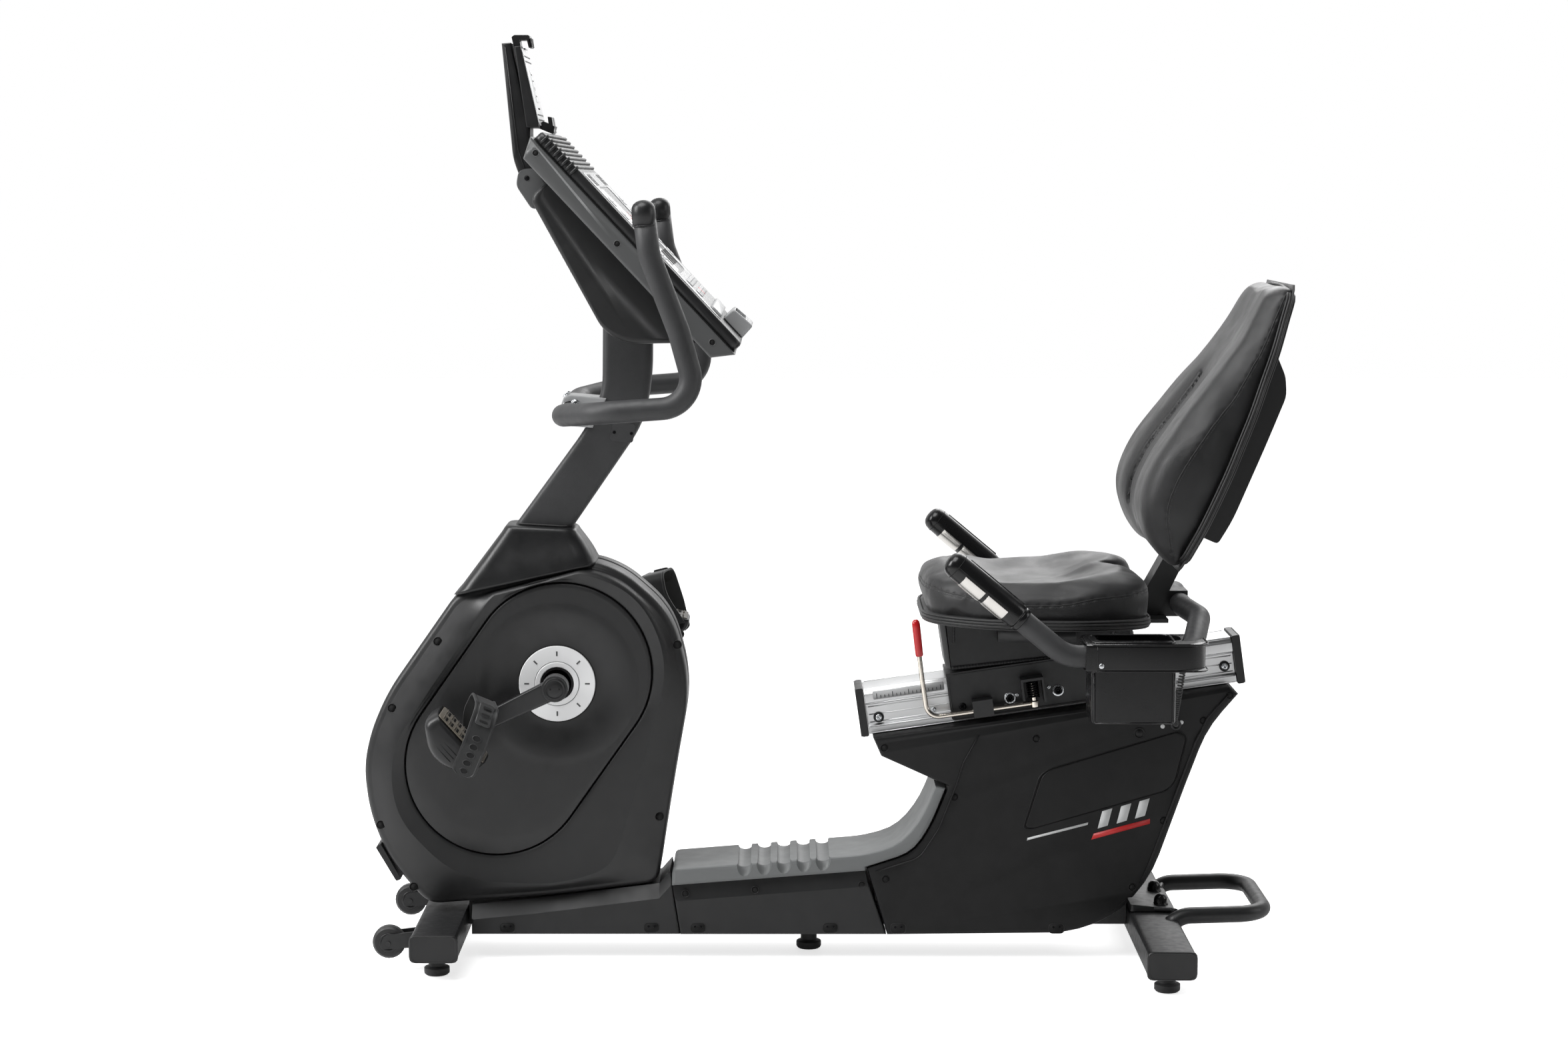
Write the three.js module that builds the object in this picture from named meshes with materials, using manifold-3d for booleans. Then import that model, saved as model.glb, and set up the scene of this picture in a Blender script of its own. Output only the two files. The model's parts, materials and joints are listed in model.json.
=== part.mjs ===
// Recumbent exercise bike. Millimetres, +Z up, floor at z = 0.
// +X points to the rear (seat), -X to the front (console), -Y is the rider's left.
import * as THREE from "three";
import ManifoldModule from "manifold-3d";
import { mergeVertices } from "three/addons/utils/BufferGeometryUtils.js";

const wasm = await ManifoldModule();
wasm.setup();

// ---------------------------------------------------------------- dimensions
const GAP = 0.3; // air between touching parts
const RUN = 0.8; // running clearance of a turning or sliding part
const RAD = Math.PI / 180;
const CENTRE_SHIFT = 9.4; // puts the middle of the overall length at x = 0

const CRANK = { x: -429, z: 443, length: 165, angle: 206 * RAD, armY: 96, armT: 15, shaft: 10 };
const FLYWHEEL = { x: -527, z: 312, radius: 104, halfWidth: 13, shaft: 6 };
const PEDAL = { y: 165, length: 108, width: 84, depth: 54, axleBelow: 14, pitchLeft: -48,
  pitchRight: -12 };
const SHELL = { half: 75, bevel: 9, wall: 5 };
const RAIL = { x: 66, z: 358, angle: 8.2 * RAD, length: 590, height: 72, half: 42 };
const FRONT_BAR = { x: -613, z: 51, half: 205, wide: 74, tall: 42, footY: 165 };
const REAR_BAR = { x: 517, z: 54, half: 317, wide: 74, tall: 42, footY: 264 };
const WHEEL = { x: -690, y: 140, z: 46, radius: 26, width: 22 };
const GRIP_BAR = { radius: 17, y: 290 };
const SEAT_BAR = { radius: 17, y: 305, gripRadius: 20 };
const LEVER = { y: -66, n: 17, start: 95, end: 258, radius: 4, bend: 20 };
const PLUNGER = { s: 266, y: -64, radius: 4, collar: 6.5, low: 10, shoulder: 20, high: 50 };
const CUSHION = { low: 547.5, high: 632, edge: 14 };
const BACKREST = { x: 545, z: 660, lean: 66 * RAD };

// ---------------------------------------------------------------- solids
// A closed three.js geometry becomes a solid that can be joined and cut.
function solid(geometry) {
  const bare = new THREE.BufferGeometry();
  bare.setAttribute("position", geometry.getAttribute("position").clone());
  if (geometry.index) bare.setIndex(geometry.index.clone());
  const welded = mergeVertices(bare, 1e-3);
  const mesh = new wasm.Mesh({
    numProp: 3,
    vertProperties: new Float32Array(welded.getAttribute("position").array),
    triVerts: new Uint32Array(welded.index.array),
  });
  mesh.merge();
  return new wasm.Manifold(mesh);
}

function shape(body) {
  const mesh = body.getMesh();
  const geometry = new THREE.BufferGeometry();
  geometry.setAttribute("position", new THREE.BufferAttribute(new Float32Array(mesh.vertProperties),
    3));
  geometry.setIndex(new THREE.BufferAttribute(new Uint32Array(mesh.triVerts), 1));
  return geometry;
}

function join(...bodies) {
  return bodies.reduce((sum, next) => sum.add(next));
}

function cut(body, ...tools) {
  return tools.reduce((rest, tool) => rest.subtract(tool), body);
}

// Rounded outline: points are [a, b] or [a, b, corner reach]. A corner tighter than the
// edge bevel stays sharp, so that the bevel never folds over itself.
function outline(points, bevel = 0) {
  const path = new THREE.Shape();
  const count = points.length;
  points.forEach((point, i) => {
    const here = new THREE.Vector2(point[0], point[1]);
    const before = new THREE.Vector2(...points[(i + count - 1) % count].slice(0, 2));
    const after = new THREE.Vector2(...points[(i + 1) % count].slice(0, 2));
    const back = before.sub(here);
    const on = after.sub(here);
    const half = Math.abs(back.angle() - on.angle()) / 2;
    const reach = Math.min(point[2] || 0, back.length() * 0.48, on.length() * 0.48);
    const tightest = Math.abs(reach * Math.sin(half) * Math.tan(half));
    const round = tightest > bevel * 1.15 ? reach : 0;
    const start = here.clone().add(back.setLength(round));
    const end = here.clone().add(on.setLength(round));
    if (i === 0) path.moveTo(start.x, start.y);
    else path.lineTo(start.x, start.y);
    if (round > 0) path.quadraticCurveTo(here.x, here.y, end.x, end.y);
  });
  path.closePath();
  return path;
}

// Side-view outline in X-Z, extruded from y0 to y1, edges rounded by the bevel.
function slab(points, y0, y1, bevel = 0, curveSegments = 3) {
  const path = points instanceof THREE.Shape ? points : outline(points, bevel);
  const geometry = new THREE.ExtrudeGeometry(path, {
    depth: y1 - y0 - 2 * bevel,
    bevelEnabled: bevel > 0,
    bevelSize: bevel,
    bevelThickness: bevel,
    bevelOffset: -bevel,
    bevelSegments: 2,
    curveSegments,
  });
  geometry.rotateX(Math.PI / 2);
  geometry.translate(0, y1 - bevel, 0);
  return solid(geometry);
}

// Plan outline in X-Y, extruded from z0 up to z1.
function block(points, z0, z1, bevel = 0, curveSegments = 4) {
  const geometry = new THREE.ExtrudeGeometry(outline(points, bevel), {
    depth: z1 - z0 - 2 * bevel,
    bevelEnabled: bevel > 0,
    bevelSize: bevel,
    bevelThickness: bevel,
    bevelOffset: -bevel,
    bevelSegments: 2,
    curveSegments,
  });
  geometry.translate(0, 0, z0 + bevel);
  return solid(geometry);
}

function box(x0, x1, y0, y1, z0, z1) {
  const geometry = new THREE.BoxGeometry(x1 - x0, y1 - y0, z1 - z0);
  geometry.translate((x0 + x1) / 2, (y0 + y1) / 2, (z0 + z1) / 2);
  return solid(geometry);
}

// Cylinder along Y between y0 and y1.
function drum(x, z, radius, y0, y1, sides = 24) {
  const geometry = new THREE.CylinderGeometry(radius, radius, y1 - y0, sides);
  geometry.translate(x, (y0 + y1) / 2, z);
  return solid(geometry);
}

function post(x, y, radius, z0, z1, sides = 20) {
  const geometry = new THREE.CylinderGeometry(radius, radius, z1 - z0, sides);
  geometry.rotateX(Math.PI / 2);
  geometry.translate(x, y, (z0 + z1) / 2);
  return solid(geometry);
}

// Round bar between two points.
function rodBetween(from, to, radius, sides = 12) {
  const a = new THREE.Vector3(...from);
  const b = new THREE.Vector3(...to);
  const geometry = new THREE.CylinderGeometry(radius, radius, a.distanceTo(b), sides);
  geometry.applyQuaternion(new THREE.Quaternion().setFromUnitVectors(new THREE.Vector3(0, 1, 0),
    b.clone().sub(a).normalize()));
  geometry.translate((a.x + b.x) / 2, (a.y + b.y) / 2, (a.z + b.z) / 2);
  return solid(geometry);
}

// Turned part about the Y axis through (x, z): profile points are [radius, y].
function turned(x, z, profile, sides = 24) {
  const closed = profile.concat([profile[0]]);
  const geometry = new THREE.LatheGeometry(closed.map((p) => new THREE.Vector2(p[0], p[1])), sides);
  geometry.translate(x, 0, z);
  return solid(geometry);
}

// Straight runs joined by rounded bends, sampled only where the direction changes.
class BentRun extends THREE.Curve {
  constructor(corners, bend, perBend) {
    super();
    this.stations = [];
    this.headings = [];
    const points = corners.map((p) => new THREE.Vector3(...p));
    const last = points.length - 1;
    this.stand(points[0], points[1].clone().sub(points[0]));
    for (let i = 1; i < last; i += 1) {
      const back = points[i - 1].clone().sub(points[i]);
      const on = points[i + 1].clone().sub(points[i]);
      const reach = Math.min(bend, back.length() * 0.48, on.length() * 0.48);
      const enter = points[i].clone().add(back.setLength(reach));
      const leave = points[i].clone().add(on.setLength(reach));
      const arc = new THREE.QuadraticBezierCurve3(enter, points[i], leave);
      for (let k = 0; k <= perBend; k += 1) this.stand(arc.getPoint(k / perBend),
        arc.getTangent(k / perBend));
    }
    this.stand(points[last], points[last].clone().sub(points[last - 1]));
  }

  stand(point, heading) {
    this.stations.push(point.clone());
    this.headings.push(heading.clone().normalize());
  }

  getPointAt(u) {
    return this.stations[Math.round(u * (this.stations.length - 1))].clone();
  }

  getTangentAt(u) {
    return this.headings[Math.round(u * (this.stations.length - 1))].clone();
  }
}

function tube(corners, radius, bend, perBend = 4, sides = 12) {
  const run = new BentRun(corners, bend, perBend);
  const round = new THREE.Shape();
  round.absarc(0, 0, radius, 0, Math.PI * 2, false);
  const geometry = new THREE.ExtrudeGeometry(round, {
    steps: run.stations.length - 1,
    extrudePath: run,
    curveSegments: sides / 2,
    bevelEnabled: false,
  });
  return solid(geometry);
}

function turnInsideOut(geometry) {
  const index = geometry.index.array;
  for (let i = 0; i < index.length; i += 3) {
    [index[i], index[i + 1]] = [index[i + 1], index[i]];
  }
}

// The same solid on the other side of the bike.
function mirrored(body) {
  const geometry = shape(body);
  geometry.scale(1, -1, 1);
  turnInsideOut(geometry);
  return solid(geometry);
}

// Turn a solid about the Y axis through (x, z); a positive angle lifts +X towards +Z.
function turn(body, angle, x = 0, z = 0) {
  const geometry = shape(body);
  geometry.translate(-x, 0, -z);
  geometry.rotateY(-angle);
  geometry.translate(x, 0, z);
  return solid(geometry);
}

function moved(body, x, y, z) {
  const geometry = shape(body);
  geometry.translate(x, y, z);
  return solid(geometry);
}

// Shrink a convex outline inwards by a wall thickness.
function inset(points, wall) {
  const count = points.length;
  const area = points.reduce((sum, p, i) => {
    const q = points[(i + 1) % count];
    return sum + p[0] * q[1] - q[0] * p[1];
  }, 0);
  const inward = Math.sign(area) * wall;
  return points.map((point, i) => {
    const before = points[(i + count - 1) % count];
    const after = points[(i + 1) % count];
    const a = new THREE.Vector2(point[0] - before[0], point[1] - before[1]).normalize();
    const b = new THREE.Vector2(after[0] - point[0], after[1] - point[1]).normalize();
    const across = new THREE.Vector2(-a.y - b.y, a.x + b.x);
    const reach = inward / (1 + a.dot(b));
    return [point[0] + across.x * reach, point[1] + across.y * reach, point[2] || 0];
  });
}

// ---------------------------------------------------------------- assembly
const bike = new THREE.Group();
bike.name = "recumbent_exercise_bike";
bike.position.x = CENTRE_SHIFT;

function add(name, body, colour) {
  const material = new THREE.MeshStandardMaterial({ color: colour, roughness: 0.6 });
  const mesh = new THREE.Mesh(shape(body), material);
  mesh.name = name;
  bike.add(mesh);
  return body;
}

const BLACK = 0x1c1d1f;
const CHARCOAL = 0x34373a;
const GREY = 0x6d7072;
const SILVER = 0xb8babb;
const RED = 0xb51218;

// ---------------------------------------------------------------- stabilisers
function ovalBar(bar, grow, round, y0, y1, bevel = 0) {
  const tall = bar.tall / 2 + grow;
  const wide = bar.wide / 2 + grow;
  return slab([
    [bar.x - wide, bar.z - tall, round],
    [bar.x + wide, bar.z - tall, round],
    [bar.x + wide, bar.z + tall, round],
    [bar.x - wide, bar.z + tall, round],
  ], y0, y1, bevel);
}

function stabiliser(bar) {
  const wall = 3;
  const bore = ovalBar(bar, -wall, 6, -bar.half - 5, bar.half + 5);
  return cut(ovalBar(bar, 0, 9, -bar.half, bar.half), bore);
}

function endCap(bar) {
  const depth = 7;
  return ovalBar(bar, 1.2, 10, -bar.half - depth - GAP, -bar.half - GAP, 2.5);
}

function foot(x, y, top) {
  const pad = 20;
  const padTall = 12;
  const stem = 13;
  const profile = [
  [0, 0],
  [pad - 3, 0],
  [pad, 3],
  [pad, padTall],
  [stem, padTall + 2],
  [stem, top],
  [0, top],
  [0, 0],
];
  const geometry = new THREE.LatheGeometry(profile.map((p) => new THREE.Vector2(p[0], p[1])), 20);
  geometry.rotateX(Math.PI / 2);
  geometry.translate(x, y, 0);
  return solid(geometry);
}

// Two cheeks hold the transport wheel on a fixed pin.
const forkOutline = [
  [WHEEL.x - 13, WHEEL.z - 9, 8],
  [-640, 40, 2],
  [-640, 66, 2],
  [WHEEL.x - 8, WHEEL.z + 13, 10],
];
const cheekGap = WHEEL.width / 2 + 1.2;
const cheekOut = WHEEL.width / 2 + 5;
const wheelPin = 4;
const wheelFork = join(
  slab(forkOutline, -WHEEL.y - cheekOut, -WHEEL.y - cheekGap),
  slab(forkOutline, -WHEEL.y + cheekGap, -WHEEL.y + cheekOut),
  drum(WHEEL.x, WHEEL.z, wheelPin, -WHEEL.y - cheekOut - 2, -WHEEL.y + cheekOut + 2, 12),
);
add("front_stabiliser", join(stabiliser(FRONT_BAR), wheelFork, mirrored(wheelFork)), BLACK);
add("rear_stabiliser", stabiliser(REAR_BAR), BLACK);
const frontCap = endCap(FRONT_BAR);
const rearCap = endCap(REAR_BAR);
add("front_cap_left", frontCap, BLACK);
add("front_cap_right", mirrored(frontCap), BLACK);
add("rear_cap_left", rearCap, BLACK);
add("rear_cap_right", mirrored(rearCap), BLACK);
const frontFootTop = FRONT_BAR.z - FRONT_BAR.tall / 2 - GAP;
const rearFootTop = REAR_BAR.z - REAR_BAR.tall / 2 - GAP;
add("front_foot_left", foot(FRONT_BAR.x, -FRONT_BAR.footY, frontFootTop), BLACK);
add("front_foot_right", foot(FRONT_BAR.x, FRONT_BAR.footY, frontFootTop), BLACK);
add("rear_foot_left", foot(REAR_BAR.x, -REAR_BAR.footY, rearFootTop), BLACK);
add("rear_foot_right", foot(REAR_BAR.x, REAR_BAR.footY, rearFootTop), BLACK);

const wheelBore = wheelPin + RUN;
const treadHalf = WHEEL.width / 2;
const tread = [
  [wheelBore, -treadHalf],
  [WHEEL.radius - 4, -treadHalf],
  [WHEEL.radius, -treadHalf + 5],
  [WHEEL.radius, treadHalf - 5],
  [WHEEL.radius - 4, treadHalf],
  [wheelBore, treadHalf],
];
const transportWheel = turned(WHEEL.x, WHEEL.z, tread);
add("wheel_left", moved(transportWheel, 0, -WHEEL.y, 0), BLACK);
add("wheel_right", moved(transportWheel, 0, WHEEL.y, 0), BLACK);

// ---------------------------------------------------------------- frame
const keelTop = 84;
const keelLow = 46;
const keelHalf = 30;
const postHalf = 20;
const forkHalf = [19, 24];
const mastFlange = { x0: -560, x1: -425, z0: 572, z1: 584 };
const railFoot = (x) => RAIL.z + (x - RAIL.x) * Math.tan(RAIL.angle);
const keelFront = FRONT_BAR.x + FRONT_BAR.wide / 2 + GAP;
const keelRear = REAR_BAR.x - REAR_BAR.wide / 2 - GAP;
const flywheelArm = [
  [FLYWHEEL.x - 16, FLYWHEEL.z - 14, 10],
  [-380, 300],
  [-385, 340],
  [FLYWHEEL.x - 16, FLYWHEEL.z + 14, 10],
];
const keelRoom = box(-700, 600, -keelHalf + 3, keelHalf - 3, keelLow + 3, keelTop - 3);
const crankBore = drum(CRANK.x, CRANK.z, CRANK.shaft + RUN, -60, 60, 24);
const flywheelBore = drum(FLYWHEEL.x, FLYWHEEL.z, FLYWHEEL.shaft + RUN, -40, 40, 16);
const mainFrame = cut(
  join(
    box(keelFront, keelRear, -keelHalf, keelHalf, keelLow, keelTop),
    slab([[-372, 70], [-324, 70], [-408, 578], [-462, 578]], -postHalf, postHalf),
    box(mastFlange.x0, mastFlange.x1, -26, 26, mastFlange.z0, mastFlange.z1),
    slab([[-552, 573], [-430, 573], [-418, 500]], -4, 4),
    drum(CRANK.x, CRANK.z, 25, -34, 24, 24),
    slab(flywheelArm, forkHalf[0], forkHalf[1]),
    slab(flywheelArm, -forkHalf[1], -forkHalf[0]),
    slab([[225, 80], [270, 80], [270, railFoot(270) - 6], [225, railFoot(225) - 6]], -25, 25),
    slab([[425, 70], [475, 70], [600, railFoot(600) - 6], [545, railFoot(545) - 6]], -25, 25),
    slab([
      [110, railFoot(110) - 8],
      [630, railFoot(630) - 8],
      [630, railFoot(630) - GAP],
      [110, railFoot(110) - GAP],
    ], -30, 30),
  ),
  keelRoom,
  crankBore,
  flywheelBore,
);
add("main_frame", mainFrame, BLACK);
const centreFootX = -30;
add("centre_foot", foot(centreFootX, 0, keelLow - GAP), BLACK);

const handleRadius = 13;
const saddlePlate = slab([[482, 76], [552, 76], [552, 82], [530, 88], [482, 88]], -70, 70);
const domeNut = (y) => join(post(535, y, 11, 80, 92, 16), post(535, y, 7.5, 90, 98, 16));
const handleCorners = [
  [540, -112, 66],
  [560, -112, 80],
  [692, -112, 84],
  [692, 112, 84],
  [560, 112, 80],
  [540, 112, 66],
];
const handleTube = tube(handleCorners, handleRadius, 34, 3, 10);
const handleWeb = [[530, 76], [556, 76], [572, 88], [566, 94], [530, 88]];
const rearBarTop = REAR_BAR.z + REAR_BAR.tall / 2;
const rearBarRoom = box(470, 554.5 + GAP, -330, 330, 20, rearBarTop + GAP);
const liftHandle = join(
  handleTube,
  saddlePlate,
  domeNut(-45),
  domeNut(45),
  slab(handleWeb, -118, -60),
  slab(handleWeb, 60, 118),
);
add("lift_handle", cut(liftHandle, rearBarRoom), BLACK);

// ---------------------------------------------------------------- mast and neck
const mastHalf = 26;
const mastOutline = [
  [-588.6, 566],
  [-383, 846, 40],
  [-357, 900, 26],
  [-355, 1062],
  [-277, 1062],
  [-278, 924, 30],
  [-292, 852, 30],
  [-488.7, 566],
];
const mast = slab(mastOutline, -mastHalf, mastHalf, 16);
const mastPocket = slab(inset(mastOutline, -0.8), -mastHalf - 0.6, mastHalf + 0.6, 12);
const mastBore = slab(inset(mastOutline, 4), -mastHalf + 4, mastHalf - 4, 10);
add("mast", cut(mast, mastBore, box(-640, -200, -60, 60, 500, mastFlange.z1 + GAP)), CHARCOAL);

const collarOutline = [[-590, 587, 34], [-507, 694, 16], [-402, 681, 22], [-372, 642, 20]];
const collar = slab(collarOutline, -62, 62, 8);
add("neck_collar", cut(collar, mastPocket), BLACK);

// ---------------------------------------------------------------- front shroud
const shroudOutline = [
  [-588, 586, 20],
  [-699, 428, 60],
  [-727, 364, 40],
  [-739, 306, 50],
  [-731, 234, 50],
  [-707, 170, 50],
  [-677, 126, 30],
  [-638, 83, 30],
  [-594, 87, 20],
  [-463, 95, 60],
  [-271, 119, 18],
  [-245, 285, 90],
  [-217, 440, 70],
  [-249, 556, 60],
  [-321, 619, 50],
  [-374, 639, 24],
];
const shroudFull = slab(shroudOutline, -SHELL.half, SHELL.half, SHELL.bevel);
const shroudHollow = slab(inset(shroudOutline, 8), -SHELL.half + SHELL.wall + 3,
  SHELL.half - SHELL.wall - 3);

function coverOutline(radius) {
  const hull = new THREE.Shape();
  const top = new THREE.Vector2(-422, 461);
  const low = new THREE.Vector2(-527, 312);
  const heading = Math.atan2(top.y - low.y, top.x - low.x);
  hull.absarc(top.x, top.y, radius, heading - Math.PI / 2, heading + Math.PI / 2, false);
  hull.absarc(low.x, low.y, radius, heading + Math.PI / 2, heading + Math.PI * 1.5, false);
  hull.closePath();
  return hull;
}

const recessDepth = 3;
const recess = slab(coverOutline(144), SHELL.half - recessDepth, SHELL.half + 20, 0, 11);
const spindleHole = drum(CRANK.x, CRANK.z, 24, -90, 90, 24);
const footPlateSlot = box(-660, -560, -60, 60, 60, 84.6);
const neckOpening = slab([[-600, 560], [-360, 560], [-360, 660], [-600, 660]], -34, 34);
const postOpening = box(-410, -320, -34, 34, 60, 130);
const shroud = cut(
  shroudFull,
  shroudHollow,
  recess,
  mirrored(recess),
  spindleHole,
  mastPocket,
  neckOpening,
  footPlateSlot,
  postOpening,
);
add("shroud_left", cut(shroud, box(-800, 0, -GAP / 2, 200, 0, 800)), CHARCOAL);
add("shroud_right", cut(shroud, box(-800, 0, -200, GAP / 2, 0, 800)), CHARCOAL);
const cover = cut(slab(coverOutline(141), SHELL.half - recessDepth + GAP, SHELL.half + 0.6, 0, 11),
  spindleHole);
add("crank_cover_right", cover, BLACK);
add("crank_cover_left", mirrored(cover), BLACK);

// ---------------------------------------------------------------- base covers and rear shroud
const keelTunnel = box(-700, 560, -keelHalf - 4, keelHalf + 4, 0, keelTop + 3);
const baseOutline = [[-568, 84], [-463, 94.2], [-269, 118.5], [-252, 138], [-236, 39], [-568, 39]];
const postSlot = box(-412, -318, -34, 34, 60, 140);
add("base_cover", cut(slab(baseOutline, -70, 70, 3), keelTunnel, postSlot), BLACK);

const stepOutline = [[-248, 118], [59, 142], [62, 130], [93, 39], [-235.5, 39]];
const stepHollow = slab([[-225, 30], [-230, 108], [50, 130], [78, 30]], -66, 66);
const centreFootHole = post(centreFootX, 0, 24, 0, 60);
add("step_cover", cut(slab(stepOutline, -72, 72, 4), keelTunnel, stepHollow, centreFootHole), BLACK);

const stripOutline = [
  [-248.5, 119, 1],
  [-248, 145, 8],
  [57, 169, 20],
  [112, 184, 30],
  [149, 228, 30],
  [170, 280, 2],
  [186, 276, 2],
  [163, 217.5, 30],
  [134, 173, 30],
  [60, 149],
  [60, 143],
];
add("trim_strip", slab(stripOutline, -76, 76, 5), GREY);

const rearOutline = [
  [84, 328],
  [190, 280],
  [164, 216.6, 30],
  [134.4, 172, 30],
  [61, 148.4],
  [94.5, 39],
  [389, 42, 60],
  [460, 71, 60],
  [514, 132, 60],
  [566, 280],
  [600, 372, 40],
  [648, 428],
  [634, railFoot(634) - 1],
  [71, railFoot(71) - 1],
];
const rearFull = slab(rearOutline, -SHELL.half, SHELL.half, 6);
const rearInside = [
  [200, 345],
  [200, 270],
  [150, 165],
  [74, 140],
  [104, 46],
  [386, 49],
  [454, 77],
  [505, 136],
  [590, 372],
  [610, 400],
];
const rearHollow = slab(rearInside, -SHELL.half + 6, SHELL.half - 6);
const railRoom = slab([
  [100, railFoot(100) - 14],
  [636, railFoot(636) - 14],
  [636, 500],
  [100, 440],
], -34, 34);
const rearPostRoom = slab([[418, 60], [484, 60], [608, 436], [536, 436]], -30, 30);
const frontPostRoom = box(220, 275, -30, 30, 300, 400);
const rearBarSlot = box(REAR_BAR.x - 40, REAR_BAR.x + 40, -90, 90, 30, 100);
const rearShroud = cut(
  rearFull,
  rearHollow,
  keelTunnel,
  railRoom,
  rearPostRoom,
  frontPostRoom,
  rearBarSlot,
);
add("rear_shroud_left", cut(rearShroud, box(0, 800, -GAP / 2, 200, 0, 800)), CHARCOAL);
add("rear_shroud_right", cut(rearShroud, box(0, 800, -200, GAP / 2, 0, 800)), CHARCOAL);

// ---------------------------------------------------------------- rail
// Rail parts are drawn level (s along the rail, n above its foot), then tipped to its slope.
function onRail(body) {
  return moved(turn(body, RAIL.angle), RAIL.x, 0, RAIL.z);
}

const railHalf = [[42, 0], [42, 11], [35, 14], [35, 46], [42, 50], [42, 64], [34, 72]];
const railCorners = railHalf.concat(railHalf.slice().reverse().map(([y, n]) => [-y, n]));
const railSection = outline(railCorners);
const railBody = new THREE.ExtrudeGeometry(railSection, { depth: RAIL.length, bevelEnabled: false });
railBody.rotateX(Math.PI / 2);
railBody.rotateZ(Math.PI / 2);
const rail = cut(solid(railBody), box(-5, RAIL.length + 5, -27, 27, 8, 64));
add("seat_rail", onRail(rail), SILVER);
function railCap(s0, s1) {
  const plate = [[s0, -3, 3], [s1, -3, 3], [s1, 75, 3], [s0, 75, 3]];
  return onRail(slab(plate, -44, 44));
}

add("rail_cap_front", railCap(-12, -GAP), BLACK);
add("rail_cap_rear", railCap(RAIL.length + GAP, RAIL.length + 12), BLACK);

// ---------------------------------------------------------------- console
// Console parts are drawn flat (s down the face, n out of it), then tipped to the face slope.
const FACE = { x: -435, z: 1309, angle: -46.9 * RAD };
function onFace(body) {
  return moved(turn(body, FACE.angle), FACE.x, 0, FACE.z);
}

const consoleBackOutline = [
  [58, -50.5],
  [58, -86, 8],
  [283, -144, 40],
  [322, -130, 30],
  [394, -50.5],
];
const consoleBack = slab(consoleBackOutline, -150, 150, 8);
const hingePin = { x: -470, z: 1238, radius: 4.2 };
const earOutline = [[-484, 1228, 8], [-482, 1248, 8], [-462, 1250, 8], [-425, 1190], [-462, 1196, 6]];
const shellRoom = box(-40, 460, -200, 200, -50, 60);
const backWithEars = join(
  cut(onFace(consoleBack), mastPocket),
  slab(earOutline, -52, -38),
  slab(earOutline, 38, 52),
);
const hingeBore = drum(hingePin.x, hingePin.z, hingePin.radius + RUN, -60, 60, 16);
add("console_back", cut(backWithEars, onFace(shellRoom), hingeBore), CHARCOAL);
const consoleShell = slab([[-6, -18.3], [11, -49.7], [423, -49.7], [446, -18.3]], -192, 192, 4);
add("console_shell", onFace(consoleShell), GREY);
const ventRib = (s) => box(s, s + 5, -176, 176, -3, 2.5);
const bezelPlate = slab([[0, -18, 2], [0, -3, 5], [441, 0, 6], [441, -18, 2]], -188, 188, 4);
const ribPitch = [10, 20, 30, 40, 50, 60, 70];
const SCREEN = { s0: 120, s1: 296, half: 112, low: -2.5, high: -0.8 };
const screenPocket = box(SCREEN.s0, SCREEN.s1, -SCREEN.half, SCREEN.half, SCREEN.low, 10);
const bezel = cut(join(bezelPlate, ...ribPitch.map(ventRib)), screenPocket);
add("console_bezel", onFace(bezel), BLACK);
const screen = box(
  SCREEN.s0 + GAP,
  SCREEN.s1 - GAP,
  -SCREEN.half + GAP,
  SCREEN.half - GAP,
  SCREEN.low + GAP,
  SCREEN.high,
);
add("console_screen", onFace(screen), 0x202a30);
const ledgeBody = slab([[396, 0.5], [396, 22, 5], [436, 26, 5], [438, 0.5]], -60, 60, 2);
const ledge = cut(ledgeBody, box(400, 420, -52, 52, 12, 40));
add("console_ledge", onFace(ledge), SILVER);

// ---------------------------------------------------------------- tablet holder
const armOutline = [
  [-509, 1446, 4],
  [-495, 1447, 3],
  [-466, 1318, 6],
  [-466, 1275, 10],
  [-458, 1238, 8],
  [-478, 1226, 8],
  [-493, 1268, 12],
];
const holderPlate = slab([[-487, 1440], [-477, 1441], [-449, 1316], [-469, 1316]], -62, 62, 2);
const lowerClip = join(
  slab([[-460, 1318], [-431, 1306], [-428, 1318], [-446, 1326]], -26, 26),
  slab([[-436, 1310], [-429, 1308], [-433, 1332], [-439, 1333]], -26, 26),
);
const holderPin = drum(hingePin.x, hingePin.z, hingePin.radius, -50, 50, 16);
const hookSlot = slab([[-497, 1470], [-480, 1470], [-472, 1405], [-488, 1405]], -20.6, 20.6);
const tabletArm = slab(armOutline, -36, 36, 5);
add("tablet_holder", cut(join(tabletArm, holderPlate, lowerClip, holderPin), hookSlot), BLACK);
const hookOutline = [
  [-494.6, 1456],
  [-491, 1459.5, 2],
  [-467, 1459.5, 3],
  [-463, 1440],
  [-468, 1440],
  [-471, 1452],
  [-482.5, 1452],
  [-475, 1410],
  [-484, 1410],
];
add("tablet_hook", slab(hookOutline, -20, 20), BLACK);

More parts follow.
